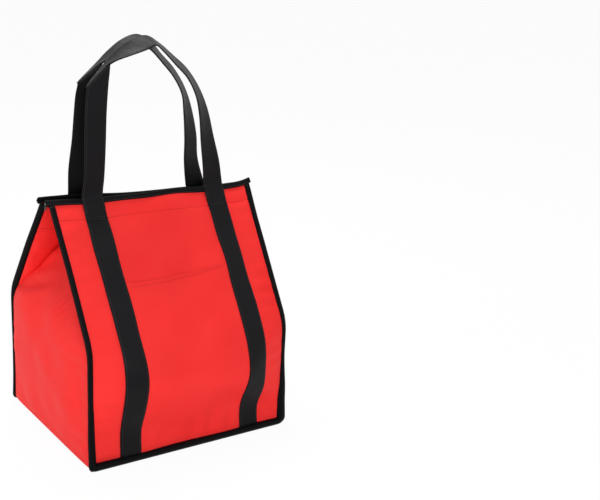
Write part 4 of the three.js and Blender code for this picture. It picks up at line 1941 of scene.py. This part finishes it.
@dataclass
class SeamTape(SubAssembly):
    """The tape folded over a wall's side and bottom seams, in one run from mouth to mouth."""

    surface: WallSurface
    corner_radius: float = 0.006
    foot: float = 0.0050
    bottom_growth: float = 0.4
    right_growth: float = 0.7
    bottom_flange: float = 1.1
    side_flange: float = 0.5
    ground_span: Pair = (0.03, 0.01)
    right_span: Pair = (0.0, 0.1)
    growth_span: Pair = (0.13, 0.05)
    flange_span: Pair = (0.11, 0.0)
    step: float = 0.004
    # The folded tape's outline: out along the seam's corner, and across
    outline: tuple[Pair, ...] = (
        (0.0054, 0.0), (0.0051, 0.0014), (0.0043, 0.0026), (0.0028, 0.0036), (0.0010, 0.0044),
        (-0.0010, 0.0052), (-0.0018, 0.0047), (-0.0031, 0.0016),
    )
    stitch_at: Pair = (0.0001, 0.0047)
    seam: Seam = Seam(pitch=0.0038, width=0.0007)

    def run(self) -> tuple[Array, Array]:
        """Leads the seam round the wall, as drawn: down the left side, along the foot and up the right.

        Returns:
            The path's points, and how far up the cloth each is.
        """
        shape, r = self.surface.shape, self.corner_radius
        top = shape.length - 0.006
        down = np.linspace(top, self.foot + r, math.ceil(top / self.step))
        turn = np.linspace(0.0, math.pi / 2, 8)[1:-1]
        reach = shape.half_width
        corner_x = -reach + r - r * np.cos(turn)
        corner_s = self.foot + r - r * np.sin(turn)
        bottom = np.linspace(-reach + r, reach - r, math.ceil(2 * reach / self.step))
        side = np.full_like(down, reach)
        x = np.concatenate([-side, corner_x, bottom, -corner_x[::-1], side])
        s = np.concatenate([down, corner_s, np.full_like(bottom, self.foot), corner_s[::-1], down[::-1]])
        path = self.surface.middle(np.clip(x, -reach, reach), s)
        ground = path[:, 2] < shape.bend_height / 2
        path[ground, 1] = -shape.half_depth
        return path, s

    def build(self) -> list[Piece]:
        """Draws the tape and the stitches along both its edges.

        Returns:
            The two pieces.
        """
        surface, half = self.surface, self.surface.panel
        path, s = self.run()
        ahead = unit(np.gradient(path, axis=0))
        wall_out = out_of(surface.middle, np.full_like(s, 1e-6), s)
        tilt = np.where(s > surface.shape.bend_height / 2, 1.0, 0.0)[:, None]
        wall_out = unit(wall_out * tilt + np.array([0.0, -1.0, 0.0]) * (1 - tilt))
        edge_out = unit(np.cross(wall_out, ahead))
        height = path[:, 2:]
        low = ramp(height, *self.ground_span) * np.abs(edge_out[:, 2:])
        out = unit(wall_out + edge_out * (1 - 0.6 * low))
        at_right = ramp(half.world(path)[:, :1], *self.right_span) * ramp(height, *self.growth_span)
        growth = 1 + self.bottom_growth * low + self.right_growth * at_right * (1 - low)
        across = unit(np.cross(ahead, out)) * growth
        side_flange = self.side_flange * ramp(height, *self.flange_span)
        flange = 1 + np.maximum(self.bottom_flange * low, side_flange)
        full = folded_outline(self.outline)
        reach = np.where(full[None, :, :1] > 0, flange[:, None], 1.0) * full[None, :, :1]
        rings = path[:, None] + out[:, None] * reach + across[:, None] * full[None, :, 1:]
        rings[..., 2] = np.maximum(rings[..., 2], 0.0)
        draft, stitches = Draft().tube(surface.place(rings), lengths(path), around(full)), Draft()
        for side in (-1, 1):
            row = path + out * self.stitch_at[0] + across * side * self.stitch_at[1]
            self.seam.sew(stitches, surface.place(row), half.world(unit(across) * side))
        carrier = surface.carrier()
        name = half.value
        nodes = (f"{name}_lower_binding", f"{name}_upper_binding_left", f"{name}_upper_binding_right")
        return [
            Piece(f"{name}_seam_tape", draft, (TAPE,), Slot.BINDING_TAPE, carrier, nodes),
            Piece(f"{name}_seam_tape_stitches", stitches, (BLACK_THREAD,), Slot.BINDING_TAPE, carrier),
        ]


@dataclass
class MouthTape(SubAssembly):
    """The tape folded over a wall's upper edge, with free ends past the side seams."""

    surface: WallSurface
    overhang: float = 0.0082
    front_left: float = 0.006
    back_left: float = 0.0122
    end_bend: float = 0.007
    bend_span: Pair = (-0.159, -0.175)
    step: float = 0.004
    wave: float = 0.0007
    # The folded tape's outline: up the slope, and out of it
    outline: tuple[Pair, ...] = (
        (0.0047, 0.0), (0.0044, 0.0013), (0.0036, 0.0021), (0.0010, 0.0027), (-0.0030, 0.0033),
        (-0.0048, 0.0036), (-0.0051, 0.0030), (-0.0050, 0.0010),
    )
    stitch_at: Pair = (-0.0034, 0.0034)
    seam: Seam = Seam(pitch=0.0038, width=0.0007)

    def build(self) -> list[Piece]:
        """Draws the tape and the stitches along its lower edges.

        Returns:
            The two pieces.
        """
        shape, half = self.surface.shape, self.surface.panel
        right = shape.half_width + self.overhang
        low, high = -shape.half_width - self.front_left, right
        if half is Half.BACK:
            low, high = -right, shape.half_width + self.back_left
        x = spaced(low, high, self.step, (low + 0.002, high - 0.002), 0.0005)
        wave = self.wave * Ripples(self.surface.seed + 11, 0.09)(x, np.zeros_like(x))
        top = np.array([0.0, -shape.half_gap, shape.top_height])
        bend = self.end_bend * ramp(x, *self.bend_span) if half is Half.FRONT else 0.0
        path = top + np.stack([x, wave + bend, 0.4 * wave], -1)
        close = np.clip(np.minimum(x - low, high - x) / 0.0016, 0.0, 1.0) ** 0.5
        pinch = (0.72 + 0.28 * close)[:, None, None]
        full = folded_outline(self.outline)
        section = shape.up_slope * full[None, :, :1] + shape.out_of_slope * full[None, :, 1:]
        rings = self.surface.place(path[:, None] + section * pinch)
        draft, stitches = Draft().tube(rings, x, around(full)), Draft()
        for face in (-1, 1):
            row = path + shape.up_slope * self.stitch_at[0] + shape.out_of_slope * face * self.stitch_at[1]
            out = np.broadcast_to(half.world(shape.out_of_slope * face), path.shape)
            self.seam.sew(stitches, self.surface.place(row), out)
        carrier = Rides(half.upper)
        name = f"{half.value}_mouth_tape"
        nodes = (f"{half.value}_top_binding",)
        return [
            Piece(name, draft, (TAPE,), Slot.BINDING_TAPE, carrier, nodes),
            Piece(f"{name}_stitches", stitches, (BLACK_THREAD,), Slot.BINDING_TAPE, carrier),
        ]


@dataclass(frozen=True)
class ZipSizes:
    """Where the zip lies and how big its pieces are."""

    height: float = 0.363
    reach: float = 0.148
    tape_reach: float = 0.161
    tape_in: float = 0.0031
    tape_out: float = 0.0135
    tape_thickness: float = 0.0007
    coil_in: float = 0.0007
    coil_out: float = 0.0030
    coil_thickness: float = 0.0022
    wire: float = 0.00062
    pitch: float = 0.0014
    slider_x: float = -0.141
    plate_top: float = 0.3654
    arch_top: float = 0.3698
    pin_height: float = 0.3670


@dataclass
class HalfZip(SubAssembly):
    """One side of the zip: its woven tape and the nylon coil sewn along it."""

    half: Half
    shape: BagShape
    sizes: ZipSizes
    sag: float = 0.0006
    hang: float = 0.010
    hang_radius: float = 0.006

    def build(self) -> list[Piece]:
        """Draws the tape and the coil.

        Returns:
            The two pieces.
        """
        z = self.sizes
        left = 1.0 if self.half is Half.BACK else -1.0
        ends = sorted((left * (z.tape_reach + self.hang), -left * z.tape_reach))
        x = spaced(*ends, 0.005, (left * (z.tape_reach + self.hang / 2),), 0.001)[:, None]
        over = np.maximum(left * x - z.tape_reach, 0.0)
        y = spaced(-z.tape_out, -z.tape_in, 0.0012)[None, :]
        share = (y + z.tape_out) / (z.tape_out - z.tape_in)
        level = z.height - self.sag * np.sin(math.pi * share) * (1 + 0.5 * np.sin(x * 41.0))
        turn = over / self.hang_radius
        across = x - left * over + left * self.hang_radius * np.sin(turn)
        narrow = 1 - 0.5 * over / self.hang
        height = level - self.hang_radius * (1 - np.cos(turn))
        middle = self.half.world(grid(across, y * narrow, height))
        moved = self.shape.settle(middle) - [0.0, 0.0, self.shape.raised]
        middle += (moved - middle) * (1 - share)[..., None]
        lift = np.array([0.0, 0.0, z.tape_thickness / 2])
        tape = Draft().slab(middle + lift, middle - lift, grid(y, x))
        carrier = Rides(self.half.upper)
        name = self.half.value
        return [
            Piece(f"{name}_zip_cloth", tape, (ZIP_CLOTH,), Slot.ZIP_TAPE, carrier, (f"{name}_zip_tape",)),
            Piece(f"{name}_zip_spiral", self.coil(), (NYLON,), Slot.ZIP_COIL, carrier, (f"{name}_zip_coil",)),
        ]

    def coil(self) -> Draft:
        """The coil's wire, wound along the zip.

        Returns:
            The drawn wire.
        """
        z, around_turn, sides = self.sizes, 12, 6
        turns = int(2 * z.reach / z.pitch)
        t = np.arange(turns * around_turn + 1) * (math.tau / around_turn)
        wide = (z.coil_out - z.coil_in - z.wire) / 2
        tall = (z.coil_thickness - z.wire) / 2
        x = -z.reach + z.pitch * t / math.tau
        path = grid(x, -(z.coil_in + z.coil_out) / 2 + wide * np.cos(t), z.height + tall * np.sin(t))
        ahead = unit(np.gradient(path, axis=0))
        out = unit(grid(0.0, np.cos(t) * tall, np.sin(t) * wide))
        across = unit(np.cross(ahead, out))
        ring = np.linspace(0.0, math.tau, sides, endpoint=False)
        rings = path[:, None] + z.wire / 2 * (
            out[:, None] * np.cos(ring)[None, :, None] + across[:, None] * np.sin(ring)[None, :, None]
        )
        ends = np.linspace(0.0, z.wire * math.pi, sides + 1)
        return Draft().tube(self.half.world(rings), lengths(path), ends)


def plate(
    draft: Draft, outline: Sequence[Pair], low: float, high: float, round_by: float
) -> None:
    """Draws a plate with rounded edges.

    Args:
        draft: Where it is drawn.
        outline: The plate's corners seen from above.
        low: The height of its lower face.
        high: The height of its upper face.
        round_by: How far its edges are rounded.
    """
    work = bmesh.new()
    base = work.faces.new([work.verts.new((x, y, low)) for x, y in outline])
    grown = bmesh.ops.extrude_face_region(work, geom=[base])["geom"]
    moved = [part for part in grown if isinstance(part, bmesh.types.BMVert)]
    bmesh.ops.translate(work, verts=moved, vec=(0.0, 0.0, high - low))
    bmesh.ops.recalc_face_normals(work, faces=work.faces)
    sharp = [edge for edge in work.edges if edge.calc_face_angle(0.0) > math.radians(30)]
    bmesh.ops.bevel(
        work, geom=sharp, offset=round_by, segments=3, profile=0.5, affect="EDGES", clamp_overlap=True
    )
    first = draft.add(np.array([vertex.co for vertex in work.verts]))
    work.verts.index_update()
    for face in work.faces:
        draft.polygon([first + vertex.index for vertex in face.verts])
    work.free()


def arc(x: float, y: float, radius: float, start: float, end: float) -> list[Pair]:
    """Points of an arc about a centre, between two angles in degrees."""
    angles = np.radians(np.linspace(start, end, 7))
    return [(x + radius * math.cos(a), y + radius * math.sin(a)) for a in angles]


@dataclass
class ZipHardware(SubAssembly):
    """The slider, its pull and the stops at the zip's ends."""

    sizes: ZipSizes
    half_length: float = 0.006
    half_width: float = 0.0045
    tail_width: float = 0.0036
    corner: float = 0.0016
    plate: float = 0.001
    plate_round: float = 0.00035
    channel: float = 0.0014
    arch_half: float = 0.0035
    arch_width: float = 0.0024
    arch_bar: float = 0.0012
    arch_bend: float = 0.0016
    pin: float = 0.0007
    play: float = 0.0005
    pull_length: float = 0.028
    pull_half: float = 0.0032
    pull_waist: float = 0.0026
    pull_hole: float = 0.0016
    pull_thickness: float = 0.0012
    pull_round: float = 0.00025
    stop_gap: float = 0.0003
    stop_length: float = 0.003
    stop_half: float = 0.0015
    sharp: float = math.radians(40)

    def build(self) -> list[Piece]:
        """Draws the slider, the pull and the stops.

        Returns:
            The five pieces.
        """
        stops = (("front_top_stop", -1, -1), ("back_top_stop", -1, 1), ("zip_bottom_stop", 1, 1))
        drawn = [
            ("slider_casting", self.slider(), "slider", "zip_slider"),
            ("pull_tab", self.pull(), "pull", "zip_pull"),
        ]
        for node, end, side in stops:
            body = Half.FRONT.upper if side < 0 else Half.BACK.upper
            drawn.append((f"{node}_clip", self.stop(end, side), body, node))
        return [
            Piece(name, draft, (METAL,), Slot.ZIP_METAL, Rides(body), (node,), self.sharp)
            for name, draft, body, node in drawn
        ]

    def slider(self) -> Draft:
        """Draws two plates, a wedge between them and an arch on top.

        Returns:
            The drawn slider.
        """
        z, draft = self.sizes, Draft()
        x0, x1 = z.slider_x - self.half_length, z.slider_x + self.half_length
        w, t, r = self.half_width, self.tail_width, self.corner
        outline = (
            arc(x1 - r, -t + r, r, -90, 0) + arc(x1 - r, t - r, r, 0, 90)
            + arc(x0 + r, w - r, r, 90, 180) + arc(x0 + r, -w + r, r, 180, 270)
        )
        high, low = z.height + self.channel, z.height - self.channel
        plate(draft, outline, high, high + self.plate, self.plate_round)
        plate(draft, outline, low - self.plate, low, self.plate_round)
        wedge = [(x0 + 0.001, -0.0004), (x1 - 0.001, -0.0002), (x1 - 0.001, 0.0002), (x0 + 0.001, 0.0004)]
        plate(draft, wedge, low - 0.0002, high + 0.0002, 0.0001)
        self.arch(draft)
        return draft

    def arch(self, draft: Draft) -> None:
        """Draws the bridge that holds the pull: a bar that rises, runs level and comes down again.

        Args:
            draft: Where it is drawn.
        """
        z, half, bend = self.sizes, self.arch_bar / 2, self.arch_bend
        top, foot, end = z.arch_top - half, z.plate_top - 0.0004, self.arch_half - half
        left = [(-end, foot), *arc(-end + bend, top - bend, bend, 180, 90)]
        route = left + [(-x, y) for x, y in left[::-1]]
        path = np.array([[z.slider_x + x, 0.0, y] for x, y in route])
        across = np.array([0.0, 1.0, 0.0])
        out = unit(np.cross(across, unit(np.gradient(path, axis=0))))
        ring = np.linspace(0.0, math.tau, 14, endpoint=False)
        flat, thick = (np.sign(turn) * np.abs(turn) ** 0.6 for turn in (np.cos(ring), np.sin(ring)))
        wide = across * (self.arch_width / 2) * flat[None, :, None]
        rings = path[:, None] + wide + out[:, None] * half * thick[None, :, None]
        draft.tube(rings, lengths(path), np.linspace(0.0, 0.006, 15))

    def pull(self) -> Draft:
        """Draws a flat tab along -X from its pin, with a window for the arch and a hole near its tip.

        Returns:
            The drawn pull.
        """
        z, h, draft = self.sizes, self.pull_half, Draft()
        window = math.hypot(self.arch_half, z.arch_top - z.pin_height) + self.play
        slot = self.arch_width / 2 + self.play
        left, right, back = z.slider_x - window, z.slider_x + self.pin, z.slider_x - self.pin
        low, high = z.pin_height - self.pull_thickness / 2, z.pin_height + self.pull_thickness / 2
        for sign in (-1, 1):
            side = [(left - 0.001, slot), (right, slot), (right, h), (left - 0.001, h)]
            plate(draft, [(x, sign * y) for x, y in side[::sign]], low, high, self.pull_round)
        end = slot + 0.0003
        plate(draft, [(back, -end), (right, -end), (right, end), (back, end)], low, high, 0.0003)
        self.blade(draft, left, z.slider_x - self.pull_length + h, low, high)
        return draft

    def blade(self, draft: Draft, near: float, far: float, low: float, high: float) -> None:
        """Draws the tab's grip: a waisted plate that rounds off past a hole.

        Args:
            draft: Where it is drawn.
            near: Its x at the window.
            far: Its x at the hole.
            low: The height of its lower face.
            high: The height of its upper face.
        """
        h, count, inset = self.pull_half, 24, 0.0002
        angles = np.linspace(0.0, math.tau, count, endpoint=False)
        cos, sin = np.cos(angles), np.sin(angles)
        rim = grid(far + self.pull_hole * cos, self.pull_hole * sin)
        edge = grid(far + np.where(cos <= 0, h * cos, np.where(cos > 0.7, 0.004, h * 0.9 * cos)), h * sin)
        outside, mouth = edge * 0.97 + rim * 0.03, rim * 0.95 + edge * 0.05
        levels = (
            (edge, low + inset), (edge, high - inset), (outside, high), (mouth, high),
            (rim, high - inset), (rim, low + inset), (mouth, low), (outside, low),
        )
        rings = np.stack([grid(*flat.T, level) for flat, level in levels], 1)
        draft.tube(rings, np.arange(count) * 0.001, np.linspace(0.0, 0.008, 9), closed=True)
        run = np.linspace(near, far + 0.0034, 9)
        share = np.clip((run - near) / (far - near), 0, 1)
        width = h - (h - self.pull_waist) * np.sin(math.pi * share) ** 2
        outline = [*zip(run, -width), *zip(run[::-1], width[::-1])]
        plate(draft, outline[::-1], low, high, self.pull_round)

    def stop(self, end: int, side: int) -> Draft:
        """Draws a clip closed round the end of one coil, with a dent from the pliers.

        Args:
            end: -1 for the zip's left end, 1 for its right.
            side: -1 for the front coil, 1 for the back.

        Returns:
            The drawn clip.
        """
        z, draft = self.sizes, Draft()
        near = z.reach + self.stop_gap
        x0, x1 = sorted((end * near, end * (near + self.stop_length)))
        y0, y1 = sorted((side * z.coil_in, side * z.coil_out))
        notch, middle, reach = (y1 - y0) * 0.12, (x0 + x1) / 2, 0.0005
        lower = [(x0, y0), (middle - reach, y0), (middle, y0 + notch), (middle + reach, y0), (x1, y0)]
        upper = [(x1, y1), (middle + reach, y1), (middle, y1 - notch), (middle - reach, y1), (x0, y1)]
        plate(draft, lower + upper, z.height - self.stop_half, z.height + self.stop_half, 0.0003)
        return draft


@dataclass(frozen=True)
class Lamp:
    """A soft studio lamp aimed at the bag."""

    name: str
    place: Triple
    size: float
    watts: float


@dataclass
class Studio:
    """The floor, the light and the camera."""

    floor_reach: float = 20.0
    floor_drop: float = 0.0002
    floor_white: float = 0.96
    sky: float = 0.2
    aim: Triple = (0.0, 0.0, 0.2)
    lamps: tuple[Lamp, ...] = (
        Lamp("key", (-0.7, -2.4, 1.6), 1.2, 40.5),
        Lamp("side", (-2.4, 0.2, 1.0), 1.0, 15.0),
        Lamp("top", (0.1, 0.9, 2.5), 1.4, 54.0),
    )
    camera_place: Triple = (-0.7871, -1.4960, 0.7992)
    camera_yaw: float = -35.838
    camera_pitch: float = 17.012
    camera_roll: float = -2.911
    camera_lens: float = 67.237

    def build(self) -> None:
        """Makes the floor, the world, the lamps and the camera."""
        self.floor()
        self.world()
        for lamp in self.lamps:
            self.hang(lamp)
        self.camera()
        bpy.context.scene.view_settings.view_transform = "Standard"

    @staticmethod
    def seen(graph: Graph) -> Value:
        """Tells the rays that show the background: straight to the camera, or by a mirror or a clear piece.

        Args:
            graph: The nodes of the floor or the world.

        Returns:
            1 for those rays, 0 for others.
        """
        names = ("Is Camera Ray", "Is Glossy Ray", "Is Transmission Ray")
        camera, glossy, clear = (graph.value("ShaderNodeLightPath", name) for name in names)
        return camera.do("MAXIMUM", camera.do("MAXIMUM", camera, glossy), clear)

    def floor(self) -> None:
        """A pale floor that stays white to the camera, and keeps a soft shadow."""
        draft, r = Draft(), self.floor_reach
        draft.add(np.array([(x, y, -self.floor_drop) for x, y in ((-r, -r), (r, -r), (r, r), (-r, r))]))
        draft.polygon(range(4))
        made = draft.make("floor", ())
        paint = bpy.data.materials.new("pale_floor")
        paint.use_nodes = True
        graph = Graph(paint.node_tree)
        matt = graph.value("ShaderNodeBsdfDiffuse", 0, None, {"Color": (0.9, 0.9, 0.9, 1.0)})
        glow = graph.value("ShaderNodeEmission", 0, None, {"Color": (1.0, 1.0, 1.0, 1.0), "Strength": 1.0})
        share = self.seen(graph) * self.floor_white
        paper = graph.value("ShaderNodeMixShader", 0, None, {0: share, 1: matt, 2: glow})
        graph.node("ShaderNodeOutputMaterial", None, {"Surface": paper})
        made.data.materials.append(paint)

    def world(self) -> None:
        """A white background, and a plainer level of light from all round."""
        world = bpy.data.worlds.new("studio")
        bpy.context.scene.world = world
        world.use_nodes = True
        graph = Graph(world.node_tree)
        strength = self.sky + (1.0 - self.sky) * self.seen(graph)
        sockets = {"Color": (1.0, 1.0, 1.0, 1.0), "Strength": strength}
        light = graph.value("ShaderNodeBackground", 0, None, sockets)
        graph.node("ShaderNodeOutputWorld", None, {"Surface": light})

    def hang(self, lamp: Lamp) -> None:
        """Hangs one lamp.

        Args:
            lamp: The lamp.
        """
        data = bpy.data.lights.new(lamp.name, "AREA")
        data.shape = "DISK"
        data.size = lamp.size
        data.energy = lamp.watts
        made = bpy.data.objects.new(lamp.name, data)
        made.location = lamp.place
        away = Vector(lamp.place) - Vector(self.aim)
        made.rotation_euler = away.to_track_quat("Z", "Y").to_euler()
        bpy.context.scene.collection.objects.link(made)

    def camera(self) -> None:
        """The camera, at the photograph's place and angle."""
        yaw, pitch, roll = (math.radians(a) for a in (self.camera_yaw, self.camera_pitch, self.camera_roll))
        turned = Euler((math.pi / 2 - pitch, 0.0, yaw)).to_matrix() @ Matrix.Rotation(-roll, 3, "Z")
        data = bpy.data.cameras.new("camera")
        data.sensor_fit = "HORIZONTAL"
        data.sensor_width = 36.0
        data.lens = self.camera_lens
        made = bpy.data.objects.new("camera", data)
        made.matrix_world = Matrix.Translation(self.camera_place) @ turned.to_4x4()
        bpy.context.scene.collection.objects.link(made)
        bpy.context.scene.camera = made


def assemblies() -> list[SubAssembly]:
    """Every sub-assembly of the bag, from the walls in to the zip.

    Returns:
        The sub-assemblies, in the order that they are built.
    """
    shape, sizes = BagShape(), ZipSizes()
    walls = {half: WallSurface(half, shape, seed) for half, seed in ((Half.FRONT, 21), (Half.BACK, 47))}
    made: list[SubAssembly] = [Base(shape)]
    for half, surface in walls.items():
        made += [Wall(surface), SeamTape(surface), MouthTape(surface), CarryLoop(surface)]
        made += [SewnStrap(surface, x) for x in (-shape.strap_x, shape.strap_x)]
        made.append(HalfZip(half, shape, sizes))
        made += [Pleat(half, shape, hand, 60 + hand) for hand in (-1, 1)]
    made.append(Pocket(walls[Half.FRONT]))
    made += [Gusset(GussetSurface(side, shape, seed)) for side, seed in ((Side.LEFT, 5), (Side.RIGHT, 33))]
    made.append(ZipHardware(sizes))
    return made


def main() -> None:
    """Loads the frame, dresses it and sets up the studio."""
    logging.basicConfig(level=logging.INFO, format="%(name)s: %(message)s")
    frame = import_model()
    for assembly in assemblies():
        pieces = assembly.dress()
        log.info("%s has %d pieces", type(assembly).__name__, len(pieces))
    board = frame["nodes"]["base_board"]
    for place in board.material_slots:
        place.material = BOARD.material()
    log.info("base_board: kept as packed, with a new finish")
    Studio().build()


if __name__ == "__main__":
    main()
